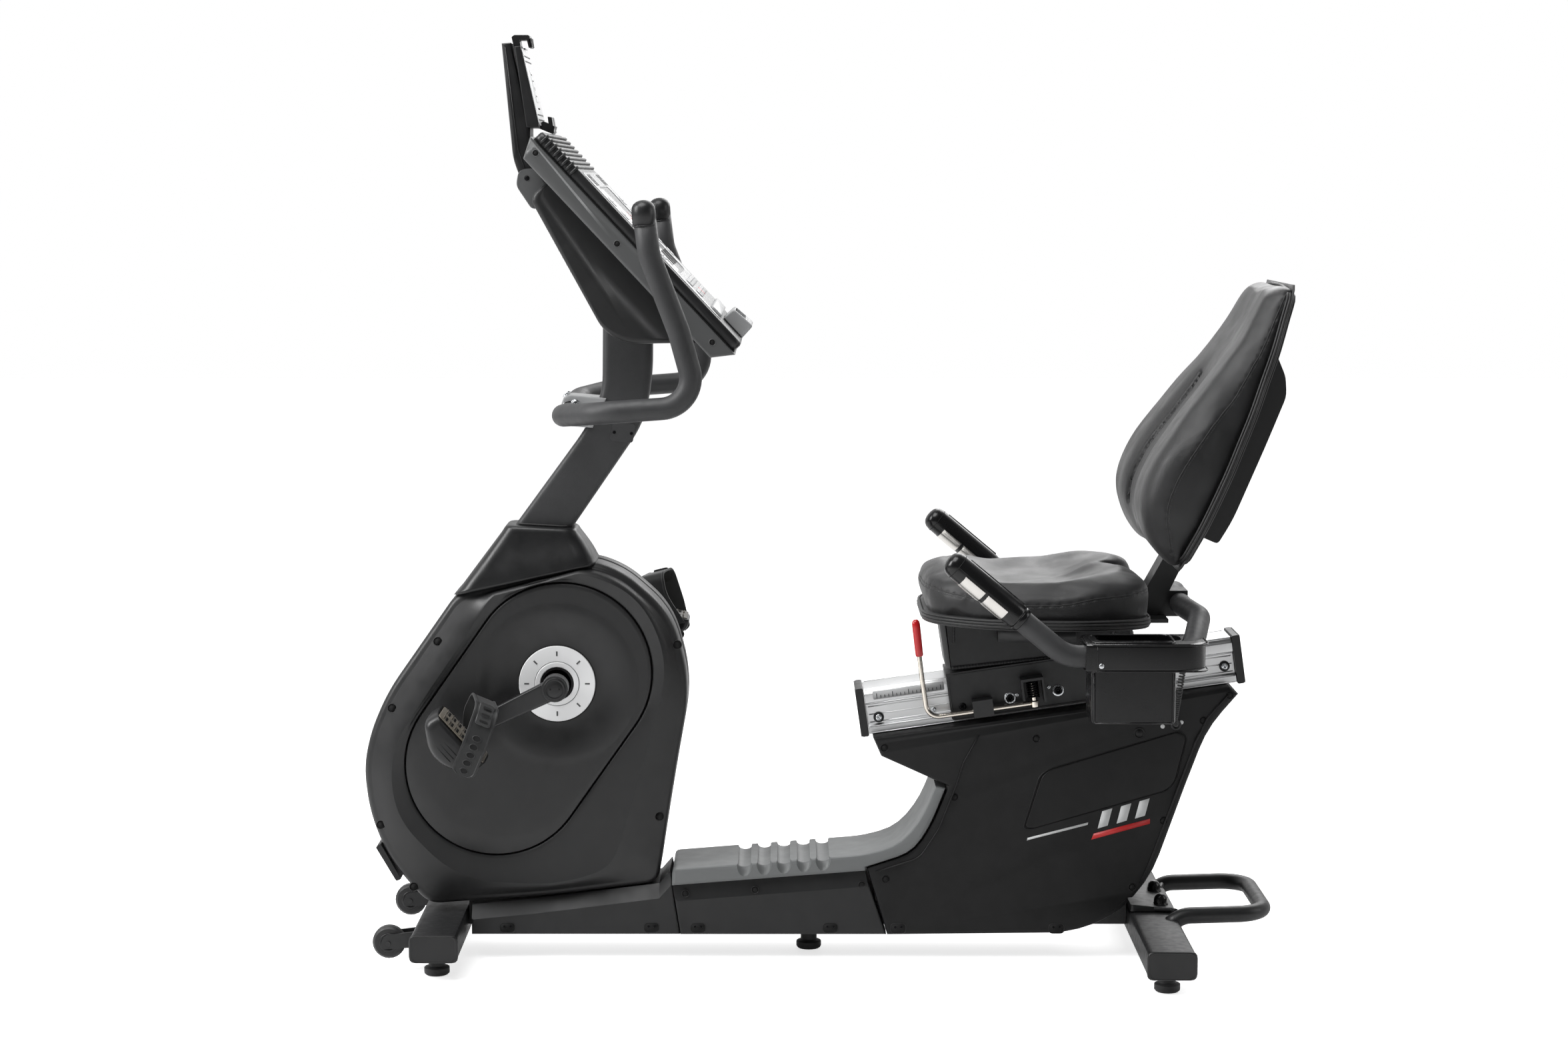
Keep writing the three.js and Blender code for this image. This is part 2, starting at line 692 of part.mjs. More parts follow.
// ---------------------------------------------------------------- console handlebar
const barPoints = [[-278, 1191], [-270, 1125], [-226, 1010], [-196, 900], [-345, 889], [-408, 878]];
const halfBar = barPoints.map(([x, z], i) => [x, i < 5 ? -GRIP_BAR.y : -190, z]);
halfBar[4][1] = -GRIP_BAR.y + 4;
const otherHalf = halfBar.slice().reverse().map(([x, y, z]) => [x, -y, z]);
const wholeBar = halfBar.concat([[-408, 0, 868]], otherHalf);
const capBall = (side) => {
  const geometry = new THREE.SphereGeometry(GRIP_BAR.radius + 0.6, 10, 6);
  geometry.translate(-278, side * GRIP_BAR.y, 1188);
  return solid(geometry);
};
const handlebar = tube(wholeBar, GRIP_BAR.radius, 62, 3, 10);
add("handlebar", join(handlebar, capBall(-1), capBall(1)), CHARCOAL);
const clampOutline = [[-428, 850, 8], [-372, 846], [-350, 893], [-418, 899, 12]];
const clampBore = tube(wholeBar.slice(4, 9), GRIP_BAR.radius + 1.6, 62, 3);
add("handlebar_clamp", cut(slab(clampOutline, -30, 30, 3), mastPocket, clampBore), SILVER);

// ---------------------------------------------------------------- crank, pedals, flywheel
function crankArm(angle, y0, y1) {
  const arm = slab([
    [-16, -17, 10],
    [150, -13, 4],
    [180, -13, 12],
    [180, 13, 12],
    [150, 13, 4],
    [-16, 17, 10],
  ], y0, y1, 3);
  return moved(turn(arm, angle), CRANK.x, 0, CRANK.z);
}

function pedalAt(angle) {
  return [CRANK.x + CRANK.length * Math.cos(angle), CRANK.z + CRANK.length * Math.sin(angle)];
}

const leftPedal = pedalAt(CRANK.angle);
const rightPedal = pedalAt(CRANK.angle + Math.PI);
const armIn = CRANK.armY;
const armOut = CRANK.armY + CRANK.armT;
const pedalShaft = 7;
const hubRadius = 21;
const leftEye = drum(leftPedal[0], leftPedal[1], pedalShaft + RUN, -140, -60, 16);
const rightEye = drum(rightPedal[0], rightPedal[1], pedalShaft + RUN, 60, 140, 16);
const crankBody = join(
  drum(CRANK.x, CRANK.z, CRANK.shaft, -armOut, armOut, 24),
  drum(CRANK.x, CRANK.z, hubRadius, -armOut - 5, -armIn + 8, 24),
  drum(CRANK.x, CRANK.z, hubRadius, armIn - 8, armOut + 5, 24),
  crankArm(CRANK.angle, -armOut, -armIn),
  crankArm(CRANK.angle + Math.PI, armIn, armOut),
);
add("crank", cut(crankBody, leftEye, rightEye), BLACK);

const pulleyIn = 36;
const pulleyOut = 52;
const pulleyRadius = 92;
const grooveDepth = 4;
const grooveRadius = pulleyRadius - grooveDepth;
const pulleyProfile = [
  [CRANK.shaft + GAP, pulleyIn - 6],
  [22, pulleyIn - 6],
  [22, pulleyIn + 4],
  [pulleyRadius - 8, pulleyIn + 4],
  [pulleyRadius, pulleyIn],
  [pulleyRadius, pulleyIn + 2],
  [grooveRadius, pulleyIn + 4],
  [grooveRadius, pulleyOut - 4],
  [pulleyRadius, pulleyOut - 2],
  [pulleyRadius, pulleyOut],
  [pulleyRadius - 8, pulleyOut - 4],
  [CRANK.shaft + GAP, pulleyOut - 4],
];
add("crank_pulley", turned(CRANK.x, CRANK.z, pulleyProfile, 32), GREY);

const smallPulley = 20;
const webHalf = 5;
const bossHalf = FLYWHEEL.halfWidth - 6;
const flywheelHalf = [
  [0, bossHalf],
  [30, bossHalf],
  [72, webHalf],
  [80, FLYWHEEL.halfWidth],
  [FLYWHEEL.radius, FLYWHEEL.halfWidth],
];
const flywheelProfile = flywheelHalf
  .map(([r, y]) => [r, -y])
  .concat(flywheelHalf.slice().reverse());
const flywheel = join(
  turned(FLYWHEEL.x, FLYWHEEL.z, flywheelProfile, 32),
  drum(FLYWHEEL.x, FLYWHEEL.z, FLYWHEEL.shaft, -30, 54, 16),
  drum(FLYWHEEL.x, FLYWHEEL.z, smallPulley, pulleyIn + 4, pulleyOut - 4, 24),
);
add("flywheel", flywheel, GREY);

function beltLoop(grow) {
  const path = new THREE.Shape();
  const big = grooveRadius + grow;
  const small = smallPulley + grow;
  const span = Math.hypot(CRANK.x - FLYWHEEL.x, CRANK.z - FLYWHEEL.z);
  const lean = Math.acos((big - small) / span);
  const heading = Math.atan2(FLYWHEEL.z - CRANK.z, FLYWHEEL.x - CRANK.x);
  path.absarc(CRANK.x, CRANK.z, big, heading + lean, heading - lean + Math.PI * 2, false);
  path.absarc(FLYWHEEL.x, FLYWHEEL.z, small, heading - lean, heading + lean, false);
  path.closePath();
  return path;
}

const beltOutside = slab(beltLoop(3), pulleyIn + 4.6, pulleyOut - 4.6, 0, 16);
const beltInside = slab(beltLoop(0.6), pulleyIn, pulleyOut, 0, 16);
add("drive_belt", cut(beltOutside, beltInside), BLACK);

// Pedal drawn level around its axle, tread up; the pitch tips it about the axle.
function pedalBody(pitch, side, at) {
  const half = PEDAL.length / 2;
  const top = PEDAL.axleBelow;
  const low = top - PEDAL.depth;
  const profile = [
    [-half, top, 3],
    [half, top, 3],
    [half, top - 14, 10],
    [half * 0.5, low + 4, 24],
    [-half * 0.3, low - 2, 30],
    [-half - 6, top - 26, 16],
  ];
  const middle = side * PEDAL.y;
  const body = slab(profile, middle - PEDAL.width / 2, middle + PEDAL.width / 2, 6);
  const inner = PEDAL.y - PEDAL.width / 2 + 10;
  const axleFrom = Math.min(side * inner, side * armIn);
  const axleTo = Math.max(side * inner, side * armIn);
  const axle = drum(0, 0, pedalShaft, axleFrom, axleTo, 16);
  return moved(turn(join(body, axle), pitch * RAD), at[0], 0, at[1]);
}

// Loop across the foot: the drawn outline becomes Y and Z, and leans back with height.
function strapLean(side) {
  const start = 18;
  const lean = -0.48;
  return new THREE.Matrix4().set(
    0, lean, 1, start,
    side, 0, 0, 0,
    0, 1, 0, 0,
    0, 0, 0, 1,
  );
}

function pedalStrap(pitch, side, at) {
  const near = PEDAL.y + PEDAL.width / 2 + GAP;
  const far = PEDAL.y - PEDAL.width / 2 - GAP;
  const thick = 2.8;
  const foot = PEDAL.axleBelow - PEDAL.depth + 4;
  const rise = 74;
  const width = 28;
  const inside = [
    [near, foot],
    [near, 20, 12],
    [near - 14, rise, 26],
    [far + 12, rise - 4, 26],
    [far, 20, 12],
    [far, -2],
  ];
  const outside = [
    [far - thick, -2],
    [far - thick, 21, 12],
    [far + 10, rise - 4 + thick, 27],
    [near - 13, rise + thick, 27],
    [near + thick, 21, 12],
    [near + thick, foot],
  ];
  const loop = outline(inside.concat(outside));
  const geometry = new THREE.ExtrudeGeometry(loop, { depth: width, bevelEnabled: false,
    curveSegments: 5 });
  geometry.applyMatrix4(strapLean(side));
  const bare = new THREE.BufferGeometry();
  bare.setAttribute("position", geometry.getAttribute("position"));
  const welded = mergeVertices(bare, 1e-3);
  if (side < 0) {
    turnInsideOut(welded);
  }
  return moved(turn(solid(welded), pitch * RAD), at[0], 0, at[1]);
}

add("pedal_left", pedalBody(PEDAL.pitchLeft, -1, leftPedal), CHARCOAL);
add("pedal_right", pedalBody(PEDAL.pitchRight, 1, rightPedal), CHARCOAL);
add("strap_left", pedalStrap(PEDAL.pitchLeft, -1, leftPedal), BLACK);
add("strap_right", pedalStrap(PEDAL.pitchRight, 1, rightPedal), BLACK);

// ---------------------------------------------------------------- seat handlebar
const seatBarHalf = [
  [186, -SEAT_BAR.y, 664],
  [352, -SEAT_BAR.y, 525],
  [540, -SEAT_BAR.y + 2, 525],
  [574, -150, 562],
  [560, -62, 566],
];
const seatBarBack = seatBarHalf.slice().reverse().map(([x, y, z]) => [x, -y, z]);
const seatBarCorners = seatBarHalf.concat(seatBarBack);
function seatBar(radius) {
  return tube(seatBarCorners, radius, 60, 3, 10);
}

add("seat_handlebar", seatBar(SEAT_BAR.radius), CHARCOAL);
const gripAxis = new THREE.Vector3(352 - 186, 0, 525 - 664).normalize();
const onGrip = (distance) => [186 + gripAxis.x * distance, -SEAT_BAR.y, 664 + gripAxis.z * distance];
const gripSleeve = rodBetween(onGrip(-4), onGrip(124), SEAT_BAR.gripRadius, 20);
const gripNose = rodBetween(onGrip(-9), onGrip(0), SEAT_BAR.gripRadius - 5, 20);
const gripBore = rodBetween(onGrip(-GAP), onGrip(140), SEAT_BAR.radius + GAP, 24);
const grip = cut(join(gripSleeve, gripNose), gripBore);
add("grip_left", grip, BLACK);
add("grip_right", mirrored(grip), BLACK);

const RING = { x0: 381, x1: 566, y0: -326, y1: -222, z0: 504, z1: 546 };
const ringPlan = [
  [RING.x0, RING.y0, 8],
  [RING.x1, RING.y0, 60],
  [RING.x1, RING.y1, 40],
  [RING.x0, RING.y1, 8],
];
const ring = block(ringPlan, RING.z0, RING.z1, 5);
const ringHolePlan = [[402, -286, 12], [530, -286, 20], [530, -230, 20], [402, -230, 12]];
const ringHole = block(ringHolePlan, 480, 560);
const bucketPlan = [[390, -318, 14], [518, -318, 14], [518, -226, 14], [390, -226, 14]];
const bucketWall = 4;
const bucket = block(bucketPlan, 424, 508, bucketWall);
const bucketInside = [[394, -314, 10], [514, -314, 10], [514, -230, 10], [394, -230, 10]];
const bucketRoom = block(bucketInside, 424 + bucketWall, 507);
const cupHolder = cut(join(ring, bucket), bucketRoom, ringHole, seatBar(SEAT_BAR.radius + GAP));
add("cup_holder_left", cupHolder, BLACK);
add("cup_holder_right", mirrored(cupHolder), BLACK);

// ---------------------------------------------------------------- seat carriage
const carriageSide = (y0, y1) => slab([[133, 4, 6], [372, 4, 6], [372, 80], [133, 80, 8]], y0, y1);
const riserOutline = [[196, 462], [186, 543], [455, 543], [455, 490]];
const riserInside = [[205, 455], [196, 560], [447, 560], [447, 470]];
const riser = cut(slab(riserOutline, -42, 42), slab(riserInside, -38, 38));
const seatPan = box(190, 478, -110, 110, 541, 546);
const backPostOutline = [[478, 541], [520, 541], [592, 690], [640, 792], [618, 800], [560, 690]];
const backPost = slab(backPostOutline, -28, 28);
const backPostRoom = slab(inset(backPostOutline, -1), -29, 29);
const backFoot = box(440, 536, -70, 70, 541, 547);
const carriageShoe = join(
  carriageSide(-50, -45.5),
  carriageSide(45.5, 50),
  box(133, 372, -50, 50, 75, 80),
);
const railPath = box(0, 500, -60, 60, 0, 76);
const carriage = join(
  onRail(carriageShoe),
  cut(riser, onRail(railPath)),
  seatPan,
  backFoot,
  backPost,
);
const guideBore = rodBetween(
  [150, LEVER.y, LEVER.n],
  [220, LEVER.y, LEVER.n],
  LEVER.radius + RUN,
);
const guide = cut(box(168, 200, -74, -49, 7, 34), guideBore);
const plungerCage = join(
  box(248, 284, -78, -49, 54, 58),
  box(248, 251, -78, -49, 24, 58),
  box(281, 284, -78, -49, 18, 58),
);
const barHold = cut(box(510, 572, -24, 24, 545, 586), seatBar(SEAT_BAR.radius + GAP));
add("seat_carriage", join(carriage, onRail(join(guide, plungerCage)), barHold), BLACK);
add("riser_cover", slab([[186, 468, 3], [175, 540, 8], [185, 541], [195.5, 462]], -44, 44, 3), GREY);

const seatPlan = [
  [146, -120, 60],
  [250, -200, 60],
  [400, -212, 60],
  [498, -180, 40],
  [498, -50, 40],
  [448, 0, 30],
  [498, 50, 40],
  [498, 180, 40],
  [400, 212, 60],
  [250, 200, 60],
  [146, 120, 60],
];
add("seat_cushion", block(seatPlan, CUSHION.low, CUSHION.high, CUSHION.edge), BLACK);

const backFront = [
  [534, 626, 20],
  [492, 674, 40],
  [474, 740, 50],
  [499, 807, 60],
  [563, 895, 60],
  [638, 984, 60],
  [690, 1084, 30],
  [722, 1080, 20],
  [686, 968, 60],
  [640, 850, 60],
  [579, 714, 60],
];
const backSide = slab(backFront, -232, 232);
const backWidth = [
  [0, -230],
  [120, -225, 60],
  [470, -150, 60],
  [520, -90, 60],
  [520, 90, 60],
  [470, 150, 60],
  [120, 225, 60],
  [0, 230],
  [-60, 200, 60],
  [-60, -200, 60],
];
const backPlan = turn(block(backWidth, -260, 260), BACKREST.lean);
const backPad = backSide.intersect(moved(backPlan, BACKREST.x, 0, BACKREST.z));
add("back_cushion", cut(backPad, backPostRoom), BLACK);
const backShellOutline = [
  [580.5, 712],
  [641.5, 849.5],
  [687, 966],
  [700, 935, 8],
  [702, 905, 10],
  [672, 830, 30],
  [622, 712, 20],
  [600, 676, 6],
  [568, 690],
];
add("back_shell", cut(slab(backShellOutline, -150, 150), backPostRoom), BLACK);

// ---------------------------------------------------------------- slide lever and cord
function railPoint(along, up, y) {
  const x = RAIL.x + along * Math.cos(RAIL.angle) - up * Math.sin(RAIL.angle);
  const z = RAIL.z + along * Math.sin(RAIL.angle) + up * Math.cos(RAIL.angle);
  return [x, y, z];
}

const leverCorners = [
  [138, LEVER.y, 536],
  [148, LEVER.y, 452],
  railPoint(LEVER.start, LEVER.n, LEVER.y),
  railPoint(LEVER.end, LEVER.n, LEVER.y),
];
add("slide_lever", tube(leverCorners, LEVER.radius, LEVER.bend, 4, 8), SILVER);
const leverBore = tube(leverCorners, LEVER.radius + GAP, LEVER.bend, 4, 8);
const dippedGrip = rodBetween([137.7, LEVER.y, 543], [143.6, LEVER.y, 488], 6.5, 14);
add("lever_grip", cut(dippedGrip, leverBore), RED);

const plungerAt = (up) => railPoint(PLUNGER.s, up, PLUNGER.y);
const lockPlunger = join(
  rodBetween(plungerAt(PLUNGER.low), plungerAt(PLUNGER.high), PLUNGER.radius, 14),
  rodBetween(plungerAt(PLUNGER.low), plungerAt(PLUNGER.shoulder), PLUNGER.collar, 14),
);
add("lock_plunger", lockPlunger, SILVER);

const cordCorners = [[552, -150, 500], [545, -140, 440], [544, -100, 392], [549, -81.5, 378]];
add("seat_cord", tube(cordCorners, 5.2, 20, 4, 10), BLACK);

export default bike;
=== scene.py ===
import json
import math
import bpy
import bmesh
from mathutils import Matrix, Vector
from mathutils.bvhtree import BVHTree


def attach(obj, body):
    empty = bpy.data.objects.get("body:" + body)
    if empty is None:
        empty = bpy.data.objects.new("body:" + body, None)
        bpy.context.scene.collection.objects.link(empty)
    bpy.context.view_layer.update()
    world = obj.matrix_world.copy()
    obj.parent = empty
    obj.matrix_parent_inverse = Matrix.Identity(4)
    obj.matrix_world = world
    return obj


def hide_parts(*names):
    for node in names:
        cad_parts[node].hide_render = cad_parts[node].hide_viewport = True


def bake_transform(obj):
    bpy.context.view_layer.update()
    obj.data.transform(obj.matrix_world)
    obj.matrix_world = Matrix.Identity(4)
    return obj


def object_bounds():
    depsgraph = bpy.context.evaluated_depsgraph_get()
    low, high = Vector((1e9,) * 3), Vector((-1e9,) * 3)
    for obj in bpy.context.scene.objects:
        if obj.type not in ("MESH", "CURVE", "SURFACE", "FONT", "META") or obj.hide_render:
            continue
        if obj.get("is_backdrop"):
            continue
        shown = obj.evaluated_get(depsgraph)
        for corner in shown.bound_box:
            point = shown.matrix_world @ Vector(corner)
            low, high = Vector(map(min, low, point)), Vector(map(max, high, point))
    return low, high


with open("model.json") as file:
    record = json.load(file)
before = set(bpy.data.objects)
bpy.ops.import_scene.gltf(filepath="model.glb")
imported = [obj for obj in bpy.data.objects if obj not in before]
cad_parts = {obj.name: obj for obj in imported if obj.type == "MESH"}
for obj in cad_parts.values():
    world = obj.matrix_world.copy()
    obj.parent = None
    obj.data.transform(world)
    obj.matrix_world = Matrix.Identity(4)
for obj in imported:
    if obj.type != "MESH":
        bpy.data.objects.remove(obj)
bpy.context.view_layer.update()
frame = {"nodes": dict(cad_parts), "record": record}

SCENE = bpy.context.scene
NODES = frame["nodes"]
TAU = 2 * math.pi
SHIFT = 9.4  # the plan centre, in mm, from the drawing origin used for the numbers below


def P(x, y, z):
    """A point in metres from drawing millimetres."""
    return Vector(((x + SHIFT) / 1000, y / 1000, z / 1000))


def around(centre, r, angle, y):
    """A point at a radius and an angle round centre (x, z), at a distance y across."""
    return P(centre[0] + r * math.cos(angle), y, centre[1] + r * math.sin(angle))


def flat(outline, y):
    """An outline [(x, z)] laid across the machine at a distance y from its middle."""
    return [P(x, y, z) for x, z in outline]


def lerp(a, b, t):
    return a + (b - a) * t


def ease(t):
    t = max(0.0, min(1.0, t))
    return t * t * (3 - 2 * t)


# ---------------------------------------------------------------- materials
class Look:
    """A node material built up step by step."""

    def __init__(self, name, rough, metal=0.0, coat=0.0, sheen=0.0, spec=0.5, aniso=0.0):
        self.mat = bpy.data.materials.new(name)
        self.mat.use_nodes = True
        self.nt = self.mat.node_tree
        self.bsdf = self.nt.nodes["Principled BSDF"]
        for key, value in (("Roughness", rough), ("Metallic", metal), ("Coat Weight", coat),
                           ("Sheen Weight", sheen), ("Specular IOR Level", spec), ("Anisotropic", aniso)):
            self.bsdf.inputs[key].default_value = value
        self.bsdf.inputs["Coat Roughness"].default_value = 0.18
        self.bsdf.inputs["Sheen Roughness"].default_value = 0.5
        self.place = self.node("ShaderNodeTexCoord").outputs["Object"]
        self.normal = None

    def node(self, kind):
        return self.nt.nodes.new(kind)

    def link(self, a, b):
        self.nt.links.new(a, b)

    def noise(self, scale, detail=4.0, rough=0.55, stretch=None):
        made = self.node("ShaderNodeTexNoise")
        made.inputs["Scale"].default_value = scale
        made.inputs["Detail"].default_value = detail
        made.inputs["Roughness"].default_value = rough
        place = self.place
        if stretch:
            shift = self.node("ShaderNodeMapping")
            shift.inputs["Scale"].default_value = stretch[0]
            shift.inputs["Rotation"].default_value = stretch[1]
            self.link(self.place, shift.inputs["Vector"])
            place = shift.outputs["Vector"]
        self.link(place, made.inputs["Vector"])
        return made.outputs["Fac"]

    def cells(self, scale, feature):
        made = self.node("ShaderNodeTexVoronoi")
        made.feature = feature
        made.inputs["Scale"].default_value = scale
        self.link(self.place, made.inputs["Vector"])
        return made.outputs["Distance"]

    def remap(self, value, lo, hi, to_lo, to_hi):
        made = self.node("ShaderNodeMapRange")
        for key, v in (("From Min", lo), ("From Max", hi), ("To Min", to_lo), ("To Max", to_hi)):
            made.inputs[key].default_value = v
        self.link(value, made.inputs["Value"])
        return made.outputs["Result"]

    def mix(self, fac, a, b):
        made = self.node("ShaderNodeMix")
        made.data_type = "RGBA"
        self.link(fac, made.inputs["Factor"])
        for slot, value in ((6, a), (7, b)):
            if isinstance(value, tuple):
                made.inputs[slot].default_value = (*value, 1)
            else:
                self.link(value, made.inputs[slot])
        return made.outputs[2]

    def colour(self, base, spread=0.18, scale=9.0, wear=0.0):
        """Base colour with slow mottling, and paler where edges are rubbed."""
        dark = tuple(c * (1 - spread) for c in base)
        light = tuple(min(1.0, c * (1 + spread)) for c in base)
        out = self.mix(self.remap(self.noise(scale), 0.3, 0.7, 0, 1), dark, light)
        if wear:
            edge = self.node("ShaderNodeNewGeometry").outputs["Pointiness"]
            mask = self.remap(edge, 0.515, 0.56, 0, wear)
            out = self.mix(mask, out, tuple(min(1.0, c * 2.2 + 0.02) for c in base))
        self.link(out, self.bsdf.inputs["Base Color"])
        return self

    def gloss(self, lo, hi, scale=60.0, stretch=None):
        self.link(self.remap(self.noise(scale, stretch=stretch), 0.3, 0.7, lo, hi),
                  self.bsdf.inputs["Roughness"])
        return self

    def bump(self, height, strength, depth):
        made = self.node("ShaderNodeBump")
        made.inputs["Strength"].default_value = strength
        made.inputs["Distance"].default_value = depth
        self.link(height, made.inputs["Height"])
        if self.normal:
            self.link(self.normal, made.inputs["Normal"])
        self.normal = made.outputs["Normal"]
        self.link(self.normal, self.bsdf.inputs["Normal"])
        return self


def plastic(name, base, rough, grain=1500, strength=0.25, coat=0.0, spread=0.12, wear=0.0, spec=0.5):
    look = Look(name, rough, coat=coat, spec=spec)
    look.colour(base, spread, 6.0, wear).gloss(rough - 0.05, rough + 0.07, 35)
    look.bump(look.noise(grain, 3), strength, 0.0002)
    return look.mat


def powder(name, base, rough, strength):
    look = Look(name, rough)
    look.colour(base, 0.14, 12, 0.1).gloss(rough - 0.06, rough + 0.08, 90)
    look.bump(look.cells(1100, "SMOOTH_F1"), strength, 0.0003)
    look.bump(look.noise(420, 3), strength * 0.5, 0.0003)
    return look.mat


def metal(name, base, rough, stretch=None, aniso=0.0, scratch=0.08):
    look = Look(name, rough, metal=1.0, aniso=aniso)
    look.colour(base, 0.05, 14).gloss(max(0.04, rough - 0.07), rough + 0.1, 260, stretch)
    look.bump(look.noise(700, 4, stretch=stretch), scratch, 0.00015)
    return look.mat


def vinyl():
    look = Look("upholstery_vinyl", 0.4, sheen=0.12, spec=0.5)
    look.colour((0.0125, 0.0125, 0.0132), 0.2, 7).gloss(0.34, 0.5, 24)
    pores = look.cells(720, "DISTANCE_TO_EDGE")
    look.bump(look.remap(pores, 0.0, 0.12, 0, 1), 0.35, 0.00022)
    look.bump(look.noise(38, 5, 0.6), 0.16, 0.0016)
    return look.mat


def rubber(name, base, rough=0.62):
    look = Look(name, rough, sheen=0.15)
    look.colour(base, 0.22, 30, 0.15).gloss(rough - 0.08, rough + 0.1, 60)
    look.bump(look.noise(900, 4), 0.35, 0.00025)
    return look.mat


def glass_window():
    look = Look("screen_window", 0.08, coat=0.6, spec=0.6)
    look.colour((0.012, 0.016, 0.018), 0.25, 18).gloss(0.05, 0.12, 20)
    look.bump(look.noise(6, 2), 0.02, 0.001)
    return look.mat


RAIL_TILT = math.radians(8.2)
SLOPE = (0, RAIL_TILT, 0)
M = {
    "frame_steel": powder("frame_powder", (0.0135, 0.0138, 0.0145), 0.42, 0.18),
    "mast_powder": powder("mast_powder_texture", (0.034, 0.0345, 0.036), 0.5, 0.42),
    "rubber_black": rubber("rubber_matt", (0.014, 0.014, 0.0145)),
    "tyre_black": rubber("tyre", (0.011, 0.011, 0.0115), 0.45),
    "shroud_plastic": plastic("shroud_grain", (0.0155, 0.0156, 0.0161), 0.4, 1300, 0.42, spread=0.08),
    "panel_plastic": plastic("panel_grain", (0.0115, 0.0116, 0.0122), 0.44, 1500, 0.42, spread=0.1),
    "satin_black_plastic": plastic("satin_black", (0.0095, 0.0096, 0.0102), 0.37, 1900, 0.1),
    "trim_grey": plastic("trim_grey_grain", (0.085, 0.087, 0.088), 0.4, 1400, 0.3, spread=0.05),
    "silver_grey": plastic("silver_grey_satin", (0.36, 0.365, 0.37), 0.32, 1700, 0.16, coat=0.2,
                           spread=0.04),
    "rail_aluminium": metal("rail_anodised", (0.74, 0.745, 0.75), 0.34, ((6, 500, 500), SLOPE), 0.3, 0.03),
    "machined_steel": metal("turned_steel", (0.5, 0.5, 0.5), 0.32),
    "nickel": metal("nickel_plate", (0.82, 0.76, 0.68), 0.14, scratch=0.03),
    "red_vinyl": plastic("red_dip", (0.5, 0.008, 0.012), 0.22, 500, 0.12, coat=0.5, spread=0.1),
    "vinyl_black": vinyl(),
    "screen_glass": glass_window(),
    "crank_black": powder("crank_paint", (0.019, 0.0192, 0.02), 0.34, 0.08),
    "belt_rubber": rubber("belt", (0.012, 0.012, 0.012), 0.5),
    "rear_plastic": plastic("rear_grain", (0.0055, 0.0055, 0.0058), 0.46, 1500, 0.4, spread=0.1, spec=0.32),
    "gloss": plastic("gloss_black", (0.006, 0.006, 0.0065), 0.24, 600, 0.04, coat=0.2, spec=0.35),
    "steel": metal("stainless_plate", (0.72, 0.70, 0.67), 0.2, ((500, 30, 500), (0, 0, 0)), 0.3, 0.05),
    "zinc": metal("zinc_bright", (0.66, 0.68, 0.70), 0.24, scratch=0.1),
    # near black: real black print, seams and seals, and also painted shade filling holes, slots, wells,
    # pockets and grooves
    "dark": plastic("black_print_and_painted_shade", (0.003, 0.003, 0.0032), 0.8, 900, 0.2),
    "blackscrew": metal("black_oxide", (0.016, 0.016, 0.017), 0.42, scratch=0.2),
    "silver": plastic("silver_paint", (0.84, 0.845, 0.85), 0.36, 1500, 0.1, coat=0.25, spread=0.03),
    "brown": rubber("tread_brown", (0.095, 0.082, 0.062), 0.55),
    "strap": rubber("strap_rubber", (0.015, 0.0155, 0.016), 0.5),
    "step_grey": plastic("step_band_grey", (0.165, 0.172, 0.173), 0.45, 1200, 0.3, spread=0.05),
    "print_white": plastic("print_white", (0.62, 0.63, 0.63), 0.4, 1200, 0.1, spread=0.03),
    "print_red": plastic("print_red", (0.52, 0.02, 0.02), 0.4, 1200, 0.1, spread=0.05),
    "face_grey": plastic("face_grey", (0.40, 0.405, 0.41), 0.22, 1600, 0.08, coat=0.4, spread=0.03),
}


# ---------------------------------------------------------------- mesh tools
def smooth_edges(obj, width, weld=False):
    """Rounds the sharp edges so that they catch the light, without touching the stored mesh."""
    if weld:
        join = obj.modifiers.new("weld", "WELD")
        join.merge_threshold = 0.00002
    if width:
        soft = obj.modifiers.new("round", "BEVEL")
        soft.width = width
        soft.segments = 2
        soft.limit_method = "ANGLE"
        soft.angle_limit = math.radians(32)
        soft.harden_normals = False
    shade = obj.modifiers.new("normals", "WEIGHTED_NORMAL")
    shade.keep_sharp = True
    shade.weight = 70


def make(name, verts, faces, look, body, slot, bevel=0.0, parts=None):
    """A smooth-shaded piece that rides a body, with one look or a list of them."""
    mesh = bpy.data.meshes.new(name)
    mesh.from_pydata([tuple(v) for v in verts], [], faces)
    looks = [look] if isinstance(look, str) else list(look)
    for key in looks:
        mesh.materials.append(M[key])
    if parts:
        mesh.polygons.foreach_set("material_index", parts)
    bm = bmesh.new()
    bm.from_mesh(mesh)
    bmesh.ops.remove_doubles(bm, verts=bm.verts, dist=1e-6)
    bmesh.ops.recalc_face_normals(bm, faces=bm.faces)
    bm.to_mesh(mesh)
    bm.free()
    mesh.polygons.foreach_set("use_smooth", [True] * len(mesh.polygons))
    obj = bpy.data.objects.new(name, mesh)
    SCENE.collection.objects.link(obj)
    if bevel:
        smooth_edges(obj, bevel)
    if body:
        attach(obj, body)
    return obj


